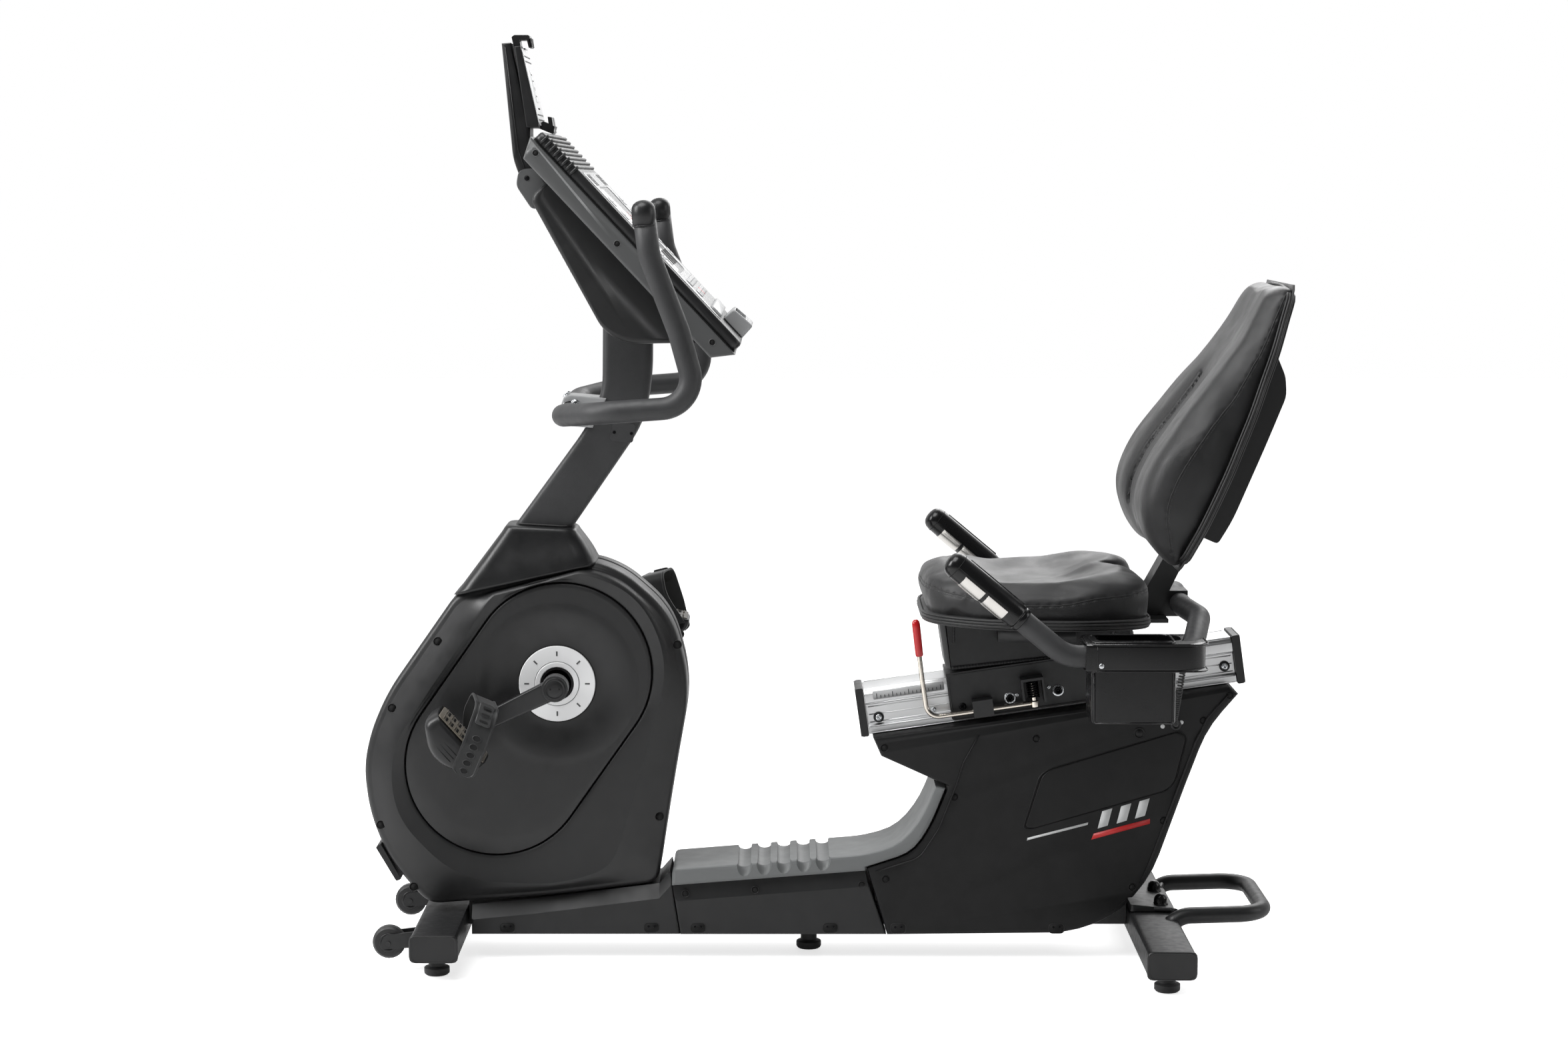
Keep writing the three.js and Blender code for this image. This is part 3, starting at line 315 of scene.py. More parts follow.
class Build:
    """Collects many small shapes into one mesh, each with its own material."""

    def __init__(self):
        self.v, self.f, self.m = [], [], []

    def rings(self, rings, mat=0, caps=True):
        """Skins a row of closed rings that have the same number of points."""
        base = len(self.v)
        n = len(rings[0])
        for ring in rings:
            self.v.extend(ring)
        for i in range(len(rings) - 1):
            for j in range(n):
                a, b = base + i * n + j, base + i * n + (j + 1) % n
                self.f.append((a, b, b + n, a + n))
                self.m.append(mat)
        if caps:
            self.f.append(tuple(base + j for j in range(n))[::-1])
            self.f.append(tuple(base + (len(rings) - 1) * n + j for j in range(n)))
            self.m += [mat, mat]
        return self

    def lathe(self, centre, axis, profile, mat=0, sides=28, wave=None):
        """profile: [(radius, height)] round the axis. wave(angle) scales the rings marked with
        a third value."""
        axis = Vector(axis).normalized()
        side = axis.orthogonal().normalized()
        up = axis.cross(side)
        rings = []
        for row in profile:
            ring = []
            for k in range(sides):
                a = TAU * k / sides
                r = max(row[0], 0.005)
                if len(row) > 2 and wave:
                    r *= wave(a)
                ring.append(Vector(centre) + (side * math.cos(a) + up * math.sin(a)) * r / 1000
                            + axis * row[1] / 1000)
            rings.append(ring)
        return self.rings(rings, mat)

    def box(self, centre, half, turn, mat=0):
        c = [Vector(centre) + turn @ Vector((sx * half[0], sy * half[1], sz * half[2])) / 1000
             for sz in (-1, 1) for sx, sy in ((-1, -1), (1, -1), (1, 1), (-1, 1))]
        return self.rings([c[:4], c[4:]], mat)

    def rod(self, path, radius, sides=8, mat=0):
        """A round bead along an open path."""
        return self.rings(follow(path, circle(radius, sides)), mat)

    def hoop(self, path, radius, sides=8, mat=0):
        """A round bead along a closed path."""
        return self.rings(follow(path + [path[0]], circle(radius, sides)), mat, caps=False)

    def done(self, name, look, body, slot, bevel=0.0):
        return make(name, self.v, self.f, look, body, slot, bevel, self.m)


def rounded(points, steps=6):
    """Corner rounding of a closed outline; points are (a, b) or (a, b, reach along both edges)."""
    out = []
    n = len(points)
    for i, p in enumerate(points):
        a = Vector(p[:2])
        r = p[2] if len(p) > 2 else 0
        if r <= 0:
            out.append(tuple(a))
            continue
        u = Vector(points[i - 1][:2]) - a
        v = Vector(points[(i + 1) % n][:2]) - a
        reach = min(r, u.length * 0.48, v.length * 0.48)
        s, e = a + u.normalized() * reach, a + v.normalized() * reach
        for k in range(steps + 1):
            t = k / steps
            out.append(tuple(s * (1 - t) ** 2 + a * 2 * t * (1 - t) + e * t * t))
    return out


def rect(s0, s1, y0, y1, r, steps=5):
    return rounded([(s0, y0, r), (s1, y0, r), (s1, y1, r), (s0, y1, r)], steps)


def bent(corners, bend, step=6.0):
    """A path through corners (mm points) with round bends, as evenly spaced points in metres."""
    pts = [Vector(c) for c in corners]
    line = [pts[0]]
    for i in range(1, len(pts) - 1):
        u, v = pts[i - 1] - pts[i], pts[i + 1] - pts[i]
        half = u.angle(v) / 2
        reach = min(bend / math.tan(half), u.length * 0.49, v.length * 0.49)
        s, e = pts[i] + u.normalized() * reach, pts[i] + v.normalized() * reach
        radius = reach * math.tan(half)
        inward = (u.normalized() + v.normalized()).normalized()
        centre = pts[i] + inward * (radius / math.sin(half))
        a, b = s - centre, e - centre
        turn = a.angle(b)
        steps = max(2, int(turn * radius / step))
        for k in range(steps + 1):
            t = k / steps
            w0, w1 = math.sin((1 - t) * turn) / math.sin(turn), math.sin(t * turn) / math.sin(turn)
            line.append(centre + a * w0 + b * w1)
    line.append(pts[-1])
    return [P(*p) for p in line]


def grid(rows):
    """The points and faces of an open surface through rows of points."""
    wide = len(rows[0])
    faces = [(i * wide + j, i * wide + j + 1, (i + 1) * wide + j + 1, (i + 1) * wide + j)
             for i in range(len(rows) - 1) for j in range(wide - 1)]
    return [p for row in rows for p in row], faces


def follow(path, section):
    """Rings of a section [(a, b)] in mm, carried along a path of points."""
    tangents = []
    for i in range(len(path)):
        a, b = path[max(0, i - 1)], path[min(len(path) - 1, i + 1)]
        tangents.append((b - a).normalized())
    side = tangents[0].orthogonal().normalized()
    if abs(tangents[0].y) < 0.9:
        side = Vector((0, 1, 0)) - tangents[0] * tangents[0].y
        side.normalize()
    rings = []
    for i, p in enumerate(path):
        if i:
            side = tangents[i - 1].rotation_difference(tangents[i]) @ side
        up = tangents[i].cross(side)
        rings.append([p + (side * a + up * b) / 1000 for a, b in section])
    return rings


def turns(count):
    """Angles of a full turn in equal steps."""
    return [TAU * k / count for k in range(count)]


def circle(radius, sides):
    return [(radius * math.cos(a), radius * math.sin(a)) for a in turns(sides)]


def pipe(name, path, radius, look, body, slot, sides, dome=0.0):
    """A round tube along a path, with ends that can be domed."""
    rings = follow(path, circle(radius, sides))
    if dome:
        ends = []
        for flip in (0, 1):
            p = path[0] if flip == 0 else path[-1]
            d = (path[0] - path[1]).normalized() if flip == 0 else (path[-1] - path[-2]).normalized()
            base = rings[0] if flip == 0 else rings[-1]
            ends.append([[p + (q - p) * math.cos(a) + d * math.sin(a) * dome / 1000 for q in base]
                         for a in (0.3, 0.6, 0.9, 1.2, 1.45)])
        rings = ends[0][::-1] + rings + ends[1]
    return Build().rings(rings).done(name, look, body, slot)


def cord_line(name, path, radius, look, body, slot, sides=8, closed=False):
    """Thin piping, stitching or wire as a swept mesh."""
    b = Build()
    bead = b.hoop if closed else b.rod
    return bead(path, radius, sides).done(name, look, body, slot)


def cross(a):
    """Radius share of a cross recess at an angle."""
    return 0.42 + 0.58 * abs(math.cos(2 * a)) ** 4


def hexed(a):
    """Radius share of a hexagon at an angle."""
    a = (a + math.pi / 6) % (math.pi / 3) - math.pi / 6
    return math.cos(math.pi / 6) / math.cos(a)


def screws(name, places, look, body, slot, radius=4.5, kind="cross", washer=0.0, height=None):
    """Screw and bolt heads as one mesh. places: [(point, outward direction)]."""
    b = Build()
    h = height or radius * 0.45
    lift = 1.1 if washer else 0.0
    heads = {
        "cross": ([(0, 0), (radius, 0), (radius, h * 0.35), (radius * 0.86, h * 0.8), (radius * 0.6, h),
                   (radius * 0.58, h, 1), (radius * 0.5, h * 0.25, 1), (0.01, h * 0.1)], 32, cross),
        "socket": ([(0, 0), (radius, 0), (radius, h * 0.85), (radius * 0.9, h), (radius * 0.62, h),
                    (radius * 0.56, h - 0.3, 1), (radius * 0.56, h * 0.35, 1), (0.01, h * 0.25)], 24,
                    hexed),
        "dome": ([(0, 0), (radius, 0), (radius, h * 0.3), (radius * 0.8, h * 0.75), (radius * 0.45, h),
                  (0.01, h * 1.05)], 28, None)}
    profile, sides, wave = heads[kind]
    for centre, out in places:
        if washer:
            b.lathe(centre, out, [(0, 0), (washer, 0), (washer, 0.7), (washer - 0.6, 1.1), (0, 1.1)], 1)
        b.lathe(centre, out, [(p[0], p[1] + lift, *p[2:]) for p in profile], 0, sides, wave)
    return b.done(name, [look, "zinc"], body, slot)


def wells(name, places, look, body, slot, radius=6.8, depth=5.0, lip=0.35):
    """Recessed screw wells: a thin lip, a near-black cup of painted shade inside the recess, and the screw
    at the bottom.
    """
    b = Build()
    for centre, out in places:
        b.lathe(centre, out, [(radius + 0.9, -0.6), (radius + 0.9, lip * 0.5), (radius + 0.4, lip),
                              (radius, lip * 0.8), (radius - 0.2, -depth), (0.01, -depth)], 0, 24)
        # near-black lining of the well: painted shade
        b.lathe(centre, out, [(radius - 0.5, 0.04 - depth * 0.1), (radius - 0.6, -depth + 0.4),
                              (0.01, -depth + 0.4)], 1, 24)
        b.lathe(centre, out, [(0, -depth), (3.6, -depth + 0.2), (3.4, -depth + 1.6), (2.2, -depth + 2.1),
                              (1.9, -depth + 2.1, 1), (1.2, -depth + 1.2, 1), (0.01, -depth + 1.1)], 2, 24,
                              cross)
    return b.done(name, [look, "dark", "blackscrew"], body, slot)


def cutter(b, name):
    """A closed shape that only takes material away, and is never rendered."""
    mesh = bpy.data.meshes.new(name)
    mesh.from_pydata([tuple(v) for v in b.v], [], b.f)
    obj = bpy.data.objects.new(name, mesh)
    SCENE.collection.objects.link(obj)
    obj.hide_render = True
    obj.hide_viewport = True
    obj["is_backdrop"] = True
    return obj


def subtract(obj, tool, label):
    """A boolean modifier that cuts the tool out of an object."""
    m = obj.modifiers.new(label, "BOOLEAN")
    m.operation = "DIFFERENCE"
    m.solver = "EXACT"
    m.object = tool


def drill(obj, places, radius, depth, name):
    """Cuts round holes with one cutter shape, as a modifier."""
    b = Build()
    for centre, out in places:
        b.lathe(centre, out, [(radius, -depth), (radius, 3.0)], 0, 24)
    subtract(obj, cutter(b, name), "drill")


def carve(node, b, name):
    """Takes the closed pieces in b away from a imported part, and leaves its stored mesh alone."""
    tool = cutter(b, name)
    bm = bmesh.new()
    bm.from_mesh(tool.data)
    bmesh.ops.recalc_face_normals(bm, faces=bm.faces)
    bm.to_mesh(tool.data)
    bm.free()
    subtract(NODES[node], tool, "carve")
    NODES[node].modifiers.move(len(NODES[node].modifiers) - 1, 0)


# ---------------------------------------------------------------- camera, light, floor
CAMERA_AT = (-0.0606, -4.750, 1.235)
CAMERA_DOWN = math.radians(6.516)
LENS, SENSOR = 68.88, 36


def stage():
    """The camera at the photograph's angle, a pale floor and soft studio light."""
    cam = bpy.data.objects.new("photo_camera", bpy.data.cameras.new("photo_camera"))
    SCENE.collection.objects.link(cam)
    cam.location = CAMERA_AT
    cam.rotation_euler = (math.pi / 2 - CAMERA_DOWN, 0, 0)
    cam.data.sensor_width = SENSOR
    cam.data.lens = LENS
    cam.data.clip_end = 60
    SCENE.camera = cam
    floor = bpy.data.meshes.new("floor")
    floor.from_pydata([(-14, -14, -0.0006), (14, -14, -0.0006), (14, 14, -0.0006), (-14, 14, -0.0006)], [],
                      [(0, 1, 2, 3)])
    look = Look("floor_pale", 0.55, spec=0.3)
    look.colour((0.85, 0.85, 0.85), 0.01, 3)
    seen = look.node("ShaderNodeLightPath")
    look.bsdf.inputs["Emission Color"].default_value = (1, 1, 1, 1)
    look.link(look.remap(seen.outputs["Is Camera Ray"], 0, 1, 0.1, 0.72),
              look.bsdf.inputs["Emission Strength"])
    floor.materials.append(look.mat)
    obj = bpy.data.objects.new("floor", floor)
    SCENE.collection.objects.link(obj)
    obj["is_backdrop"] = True
    world = bpy.data.worlds.new("studio")
    world.use_nodes = True
    sky = world.node_tree.nodes["Background"]
    sky.inputs["Color"].default_value = (1, 1, 1, 1)
    nodes, links = world.node_tree.nodes, world.node_tree.links
    where = nodes.new("ShaderNodeTexCoord")
    axes = nodes.new("ShaderNodeSeparateXYZ")
    behind = nodes.new("ShaderNodeMapRange")
    behind.interpolation_type = "SMOOTHSTEP"
    for key, value in (("From Min", -0.1), ("From Max", 0.7), ("To Min", 0.1), ("To Max", 0.8)):
        behind.inputs[key].default_value = value
    seen = nodes.new("ShaderNodeLightPath")
    level = nodes.new("ShaderNodeMix")
    level.inputs["B"].default_value = 1.0
    links.new(where.outputs["Generated"], axes.inputs["Vector"])
    links.new(axes.outputs["Y"], behind.inputs["Value"])
    links.new(behind.outputs["Result"], level.inputs["A"])
    links.new(seen.outputs["Is Camera Ray"], level.inputs["Factor"])
    links.new(level.outputs["Result"], sky.inputs["Strength"])
    SCENE.world = world

    def area(name, at, aim, size, power, size_y=None):
        data = bpy.data.lights.new(name, "AREA")
        data.energy = power
        data.size = size
        if size_y:
            data.shape = "RECTANGLE"
            data.size_y = size_y
        lamp = bpy.data.objects.new(name, data)
        SCENE.collection.objects.link(lamp)
        lamp.location = at
        lamp.rotation_euler = (Vector(aim) - Vector(at)).to_track_quat("-Z", "Y").to_euler()

    area("key_top", (-0.9, -1.0, 3.6), (0, 0, 0.6), 2.2, 80)
    area("left_soft", (-3.3, -0.9, 2.4), (-0.3, 0, 0.6), 1.4, 105, 2.2)
    area("right_soft", (3.2, -0.6, 1.6), (0.2, 0, 0.6), 1.0, 16, 2.0)
    area("rear_rim", (1.2, 3.0, 2.8), (0, 0, 0.6), 2.5, 60)
    SCENE.view_settings.view_transform = "Standard"
    SCENE.view_settings.look = "None"


stage()

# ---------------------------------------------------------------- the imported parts
SLOT_OF = {row["node"]: row["material_slot"] for row in frame["record"]["subparts"]}
EDGE = {"seat_rail": 0.0008, "main_frame": 0.001, "mast": 0.0, "back_shell": 0.004, "flywheel": 0.0008,
        "console_screen": 0.0003, "rear_shroud_left": 0.0012, "rear_shroud_right": 0.0012,
        "base_cover": 0.0012, "step_cover": 0.0012, "trim_strip": 0.0016, "cup_holder_left": 0.0026,
        "cup_holder_right": 0.0026,
         "crank": 0.0016, "seat_carriage": 0.0006, "drive_belt": 0.0}
for node, obj in NODES.items():
    obj.data.materials.clear()
    obj.data.materials.append(M[SLOT_OF[node]])
    if obj.data.has_custom_normals:
        obj.data.attributes.remove(obj.data.attributes["custom_normal"])
    for flag in ("sharp_edge", "sharp_face"):
        if flag in obj.data.attributes:
            obj.data.attributes.remove(obj.data.attributes[flag])
    obj.data.polygons.foreach_set("use_smooth", [True] * len(obj.data.polygons))
    smooth_edges(obj, EDGE.get(node, 0.001), weld=True)
for node in ("rear_shroud_left", "rear_shroud_right"):
    NODES[node].data.materials[0] = M["rear_plastic"]
for node in ("cup_holder_left", "cup_holder_right"):
    NODES[node].data.materials[0] = M["gloss"]
NODES["trim_strip"].data.materials[0] = M["step_grey"]

LEFT, RIGHT = -1, 1
NEAR, FAR = Vector((0, -1, 0)), Vector((0, 1, 0))


def side_out(side):
    return FAR if side > 0 else NEAR


def tag(side):
    return "right" if side > 0 else "left"


# ---------------------------------------------------------------- front shroud
SHROUD = rounded([(-588, 586, 20), (-699, 428, 60), (-727, 364, 40), (-739, 306, 50), (-731, 234, 50),
                  (-707, 170, 50), (-677, 126, 30), (-638, 83, 30), (-594, 87, 20), (-463, 95, 60),
                  (-271, 119, 18), (-245, 285, 90), (-217, 440, 70), (-249, 556, 60), (-321, 619, 50),
                  (-374, 639, 24)], 8)
CREASE = rounded([(-529, 588, 26), (-420, 632, 120), (-300, 590, 90), (-250, 480, 90), (-281, 360, 160),
                  (-322, 215, 60), (-344, 148, 34), (-430, 121, 90), (-590, 128, 90), (-688, 232, 90),
                  (-694, 336, 90), (-640, 420, 60), (-572, 519, 60)], 8)
AXLE = (-429, 443)
HUB_TOP, HUB_LOW = (-422, 461), (-527, 312)


def hull(radius, steps=40):
    """Outline of a band of a radius round the crank and flywheel hubs."""
    heading = math.atan2(HUB_TOP[1] - HUB_LOW[1], HUB_TOP[0] - HUB_LOW[0])
    out = []
    for (cx, cz), start in ((HUB_TOP, heading - math.pi / 2), (HUB_LOW, heading + math.pi / 2)):
        out += [(cx + radius * math.cos(start + math.pi * k / steps),
                 cz + radius * math.sin(start + math.pi * k / steps))
                for k in range(steps + 1)]
    return out


def reach(outline, centre, angle):
    """Distance from centre to the outline along an angle."""
    dx, dz = math.cos(angle), math.sin(angle)
    best = 0.0
    for i, (ax, az) in enumerate(outline):
        bx, bz = outline[(i + 1) % len(outline)]
        ex, ez = bx - ax, bz - az
        det = dx * -ez + dz * ex
        if abs(det) < 1e-9:
            continue
        px, pz = ax - centre[0], az - centre[1]
        t = (px * -ez + pz * ex) / det
        u = (dx * pz - dz * px) / det
        if t > 0 and -1e-6 <= u <= 1 + 1e-6:
            best = max(best, t)
    return best


def polar(outline, centre, count):
    """The reach of an outline from centre at evenly spaced angles."""
    return [reach(outline, centre, TAU * k / count) for k in range(count)]


def shroud_side(side):
    """One half of the crank shroud: shell, wells, inner cover, a near-black sheet of painted shade behind
    it, and crank ring.
    """
    count = 300
    mid = (-475, 372)
    outer = polar(SHROUD, mid, count)
    crease = polar(CREASE, mid, count)
    lip = polar(hull(145.5), mid, count)
    rows = [(outer, 0, 0.4), (outer, 0, 26), (outer, 0, 45), (outer, 1.6, 50.5), (outer, 5, 54.4),
            (outer, 8, 55.8), ("band", 0.03, 56.6), ("band", 0.08, 57.6), ("band", 0.5, 65.6),
            ("band", 0.9, 72.8), (crease, 0, 74.3), ("dish", 0.08, 73.3), ("dish", 0.5, 71.5),
            ("dish", 0.92, 69.8), (lip, -3, 69.3), (lip, -0.5, 68.6), (lip, 0.8, 67.2), (lip, 1.4, 62)]
    rings = []
    for kind, inset, y in rows:
        ring = []
        for k in range(count):
            a = TAU * k / count
            crest = min(crease[k], outer[k] - 16)
            if kind == "band":
                r = lerp(outer[k] - 10, crest + 2.5, inset)
            elif kind == "dish":
                r = lerp(crest - 2.5, lip[k] + 3, inset)
            elif kind is crease:
                r = crest - inset
            else:
                r = kind[k] - inset
            r = max(r, 1)
            if kind == "dish" or kind is crease:
                r = max(r, lip[k] + 2)
            ring.append(around(mid, r, a, side * y))
        rings.append(ring)
    name = "shroud_shell_" + tag(side)
    obj = Build().rings(rings, caps=False).done(name, "shroud_plastic", "frame", "shroud_plastic")
    fold = [row[0] is crease for row in rows].index(True) * count
    for edge in obj.data.edges:
        edge.use_edge_sharp = all(fold <= v < fold + count for v in edge.vertices)
    thick = obj.modifiers.new("wall", "SOLIDIFY")
    thick.thickness = 0.0035
    thick.offset = -1
    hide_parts("shroud_" + tag(side))
    places = []
    for x, z in ((-617, 510), (-691, 403), (-712, 214), (-661, 113), (-239, 504), (-268, 228)):
        a = math.atan2(z - mid[1], x - mid[0])
        rim, crest = reach(SHROUD, mid, a), reach(CREASE, mid, a)
        share = (rim - 10 - math.hypot(x - mid[0], z - mid[1])) / max(12, rim - 12 - min(crest, rim - 16))
        places.append((P(x, side * (55.8 + 18.4 * max(0, min(1, share))), z), side_out(side)))
    drill(obj, places, 7.2, 6, "cut_shroud_" + tag(side))
    wells("shroud_wells_" + tag(side), places, "shroud_plastic", "frame", "shroud_plastic")

    # the inner cover: flat near its groove, dished round the spindle
    edge = polar(hull(142.6), AXLE, count)
    rings = []

    def dish(r):
        return 69.6 - 7.5 * (1 - ease((r - 64) / 46)) + 0.8 * math.exp(-((r - 118) / 9) ** 2)

    radii = [25, 34, 48, 60, 64] + [64 + 46 * i / 14 for i in range(1, 15)] + [114, 118, 122, 128]
    for r in radii:
        rings.append([around(AXLE, r, TAU * k / count, side * dish(r)) for k in range(count)])
    for t in (0.05, 0.2, 0.4, 0.6, 0.8, 1.0):
        ring = []
        for k in range(count):
            r = lerp(min(128, edge[k] - 2.2), edge[k] - 1.6, t)
            ring.append(P(AXLE[0] + r * math.cos(TAU * k / count), side * max(69.6, dish(128) - 0.1),
                          AXLE[1] + r * math.sin(TAU * k / count)))
        rings.append(ring)
    for drop, grow in ((0.5, 0.7), (1.4, 0.1), (5, 0)):
        rings.append([around(AXLE, (edge[k] - grow), TAU * k / count, side * (69.6 - drop))
                      for k in range(count)])
    cover = Build().rings(rings, caps=False).done("crank_dish_" + tag(side), "shroud_plastic", "frame",
                                                  "panel_plastic")
    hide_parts("crank_cover_" + tag(side))

    # a near-black sheet behind the inner cover: painted shade seen through the gap round the cover
    plate = polar(hull(152), AXLE, 120)
    rings = [[around(AXLE, (r or plate[k]), TAU * k / 120, side * y) for k in range(120)]
             for r, y in ((24, 60), (24, 58), (0, 58), (0, 60), (24, 60))]
    Build().rings(rings, caps=False).done("shroud_shade_sheet_" + tag(side), "dark", "frame", "panel_plastic")

    # silver ring with eight marks, a raised collar and a seal
    at = P(AXLE[0], side * 62.0, AXLE[1])
    ring = Build()
    ring.lathe(at, side_out(side), [(60.5, -1), (60.5, 1.6), (59.6, 2.3), (36, 2.3), (35.4, 1.8),
                                    (35.2, -1)], 0, 72)
    ring.lathe(at, side_out(side), [(34.6, -1), (34.6, 2.9), (33.8, 3.6), (27.5, 3.6), (26.6, 2.8),
                                    (26.4, -2)], 0, 72)
    ring.lathe(at, side_out(side), [(62.4, -1), (62.4, 0.9), (61.2, 0.9), (61.1, -1)], 1, 72)
    ring.lathe(at, side_out(side), [(26.3, -3), (26.3, 1.2), (22.6, 1.2), (22.5, -4)], 1, 48)
    for k in range(8):
        a = math.pi * (k + 0.5) / 4 + math.radians(22.5)
        c = at + Vector((math.cos(a), 0, math.sin(a))) * 0.048 + side_out(side) * 0.0023
        ring.box(c, (3.8, 0.35, 1.3), Matrix.Rotation(-a, 3, "Y"), 2)
    ring.done("crank_ring_" + tag(side), ["silver", "dark", "trim_grey"], "frame", "silver_grey",
              bevel=0.0003)


for side in (LEFT, RIGHT):
    shroud_side(side)

# front access panel, low on the curved nose
nose = Build()
nose_outline = rounded([(-714, 182, 2), (-722, 176, 2), (-690, 121, 2), (-682, 124, 2)], 3)
nose.rings([flat(nose_outline, y) for y in (-50, 50)])
nose.done("nose_panel", "panel_plastic", "frame", "panel_plastic", bevel=0.0008)
# the slots are near-black rods: painted shade in the openings
for k, z in enumerate((136, 147, 158)):
    t = (178 - z) / 59
    cord_line("nose_slot_%d" % k, [P(-719.4 + 33 * t, y, z - 1) for y in (-34, 34)], 1.6, "dark", "frame",
              "panel_plastic")


# ---------------------------------------------------------------- neck collar and mast
def box_ring(p0, p1, half, radius, lift=0.0, steps=7):
    """Rounded rectangle lying across the line p0-p1 (x, z in mm), half-width across Y."""
    length = math.dist(p0, p1)
    ux, uz = (p1[0] - p0[0]) / length, (p1[1] - p0[1]) / length
    shape = rounded([(0, -half, radius), (length, -half, radius), (length, half, radius),
                     (0, half, radius)], steps)
    return [P(p0[0] + ux * a - uz * lift, b, p0[1] + uz * a + ux * lift) for a, b in shape]


rings = []
for k in range(15):
    t = k / 14 * 0.95
    flare = 1.6 * (1 - ease(k / 1.6)) if k < 2 else 0
    p0 = (lerp(-591, -513, t) - flare, lerp(583, 687, t))
    p1 = (lerp(-367, -397, t * t * 0.35 + t * 0.65) + flare, lerp(633, 682, t))
    rings.append(box_ring(p0, p1, lerp(65, 49, ease(t)) + flare, lerp(30, 24, t), 0, 12))
for inset, lift in ((0.5, 3.2), (2, 5.6), (4.5, 7.4), (8, 8.2), (12, 8.0)):
    rings.append(box_ring((-513 + inset, 686 + lift * 0.8), (-397 - inset, 681 + lift * 0.8), 48.5 - inset,
                          23 - inset, 0, 12))
collar = Build().rings(rings).done("neck_cowl", "satin_black_plastic", "frame", "satin_black_plastic")
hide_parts("neck_collar")
cord_line("neck_seal", box_ring((-493, 693), (-411, 688), 29, 15, 1.0), 1.6, "rubber_black", "frame",
          "satin_black_plastic", closed=True)

front_line = rounded([(-588.6, 566), (-383, 846, 60), (-357, 900, 60), (-355, 1062)], 10)
rear_line = rounded([(-488.7, 566), (-292, 852, 70), (-278, 924, 60), (-277, 1062)], 10)


def along(line, t):
    """The point at a share t of an open line (x, z)."""
    total = sum(math.dist(line[i], line[i + 1]) for i in range(len(line) - 1))
    want = t * total
    for i in range(len(line) - 1):
        step = math.dist(line[i], line[i + 1])
        if want <= step or i == len(line) - 2:
            u = min(1, want / step)
            return lerp(line[i][0], line[i + 1][0], u), lerp(line[i][1], line[i + 1][1], u)
        want -= step


rings = [box_ring(along(front_line, k / 60), along(rear_line, k / 60), 26, 13) for k in range(61)]
mast = Build().rings(rings).done("mast_tube", "mast_powder", "frame", "mast_powder")
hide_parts("mast")
plate = rounded([(-345, 826, 5), (-309, 822, 5), (-304, 852, 5), (-340, 856, 5)], 4)
Build().rings([flat(plate, -26.0 - h) for h in (0, 1.2)]).done(
    "mast_plate", "mast_powder", "frame", "mast_powder", bevel=0.0005)
screws("mast_plate_screws", [(P(-338, -27.2, 839), NEAR), (P(-311, -27.2, 837), NEAR)], "blackscrew",
       "frame", "mast_powder", 2.6)

# ---------------------------------------------------------------- round bars
BAR = [(-278, 290, 1191), (-270, 290, 1125), (-226, 290, 1010), (-196, 290, 900), (-345, 286, 889),
       (-408, 190, 878)]
whole = [(x, -y, z) for x, y, z in BAR] + [(-408, 0, 868)] + BAR[::-1]
bar = pipe("console_bar", bent(whole, 62, 5), 17, "mast_powder", "frame", "mast_powder", 28)
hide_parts("handlebar")
for side in (LEFT, RIGHT):
    top, below = P(-278, side * 290, 1191), P(-277.0, side * 290, 1176)
    axis = (top - below).normalized()
    Build().lathe(top, axis, [(17.8, -22), (17.9, -2), (17.2, 4), (14.5, 9), (9.5, 12.6), (4, 14.2),
                              (0.01, 14.5)], 0, 28).lathe(
        top, axis, [(18.1, -24), (18.1, -22.6), (17.2, -22.2)], 0, 28).done(
        "bar_cap_" + tag(side), "satin_black_plastic", "frame", "satin_black_plastic")
screws("bar_clamp_bolts", [(P(-399, s * 30.5, 885), side_out(s)) for s in (-1, 1)] +
       [(P(-414, y, 897), Vector((-0.5, 0, 0.86))) for y in (-18, 18)], "zinc", "frame", "silver_grey",
       4.2, "socket", 6.5)

SEAT_BAR = [(186, 305, 664), (352, 305, 525), (540, 303, 525), (574, 150, 562), (560, 62, 566)]
whole = [(x, -y, z) for x, y, z in SEAT_BAR] + SEAT_BAR[::-1]
bar = pipe("seat_bar", bent(whole, 60, 5), 17, "mast_powder", "seat", "mast_powder", 28)
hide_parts("seat_handlebar")
loop = [(540, -112, 66), (560, -112, 80), (692, -112, 84), (692, 112, 84), (560, 112, 80), (540, 112, 66)]
bar = pipe("lift_bar", bent(loop, 46, 5), 13, "frame_steel", "frame", "frame_steel", 24)
saddle = Build()
plan = rounded([(482, -70, 6), (552, -70, 10), (552, 70, 10), (482, 70, 6)], 4)
saddle.rings([[P(x, y, (76 if h == 0 else 82) + (5 if x < 530 and h else 0)) for x, y in plan]
              for h in (0, 1)])
for y in (-45, 45):
    at = P(533, y, 80)
    saddle.lathe(at, (0, 0, 1), [(12.5, 0), (12.5, 4), (11, 5), (10.6, 12), (9, 16), (5.5, 19),
                                 (0.01, 20)], 1, 28)
for y in (-70, 70):
    path = [P(520, y * 0.97, 80), P(548, y * 1.06, 80), P(552, y * 1.3, 82)]
    saddle.rod(path, 4.0, 12, 0)
saddle = saddle.done("lift_saddle", ["frame_steel", "gloss"], "frame", "frame_steel", bevel=0.001)
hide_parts("lift_handle")

# ---------------------------------------------------------------- heart-rate grips
GRIP_TOP, GRIP_END = SEAT_BAR[0], SEAT_BAR[1]
GRIP_DIR = Vector((GRIP_END[0] - GRIP_TOP[0], 0, GRIP_END[2] - GRIP_TOP[2])).normalized()


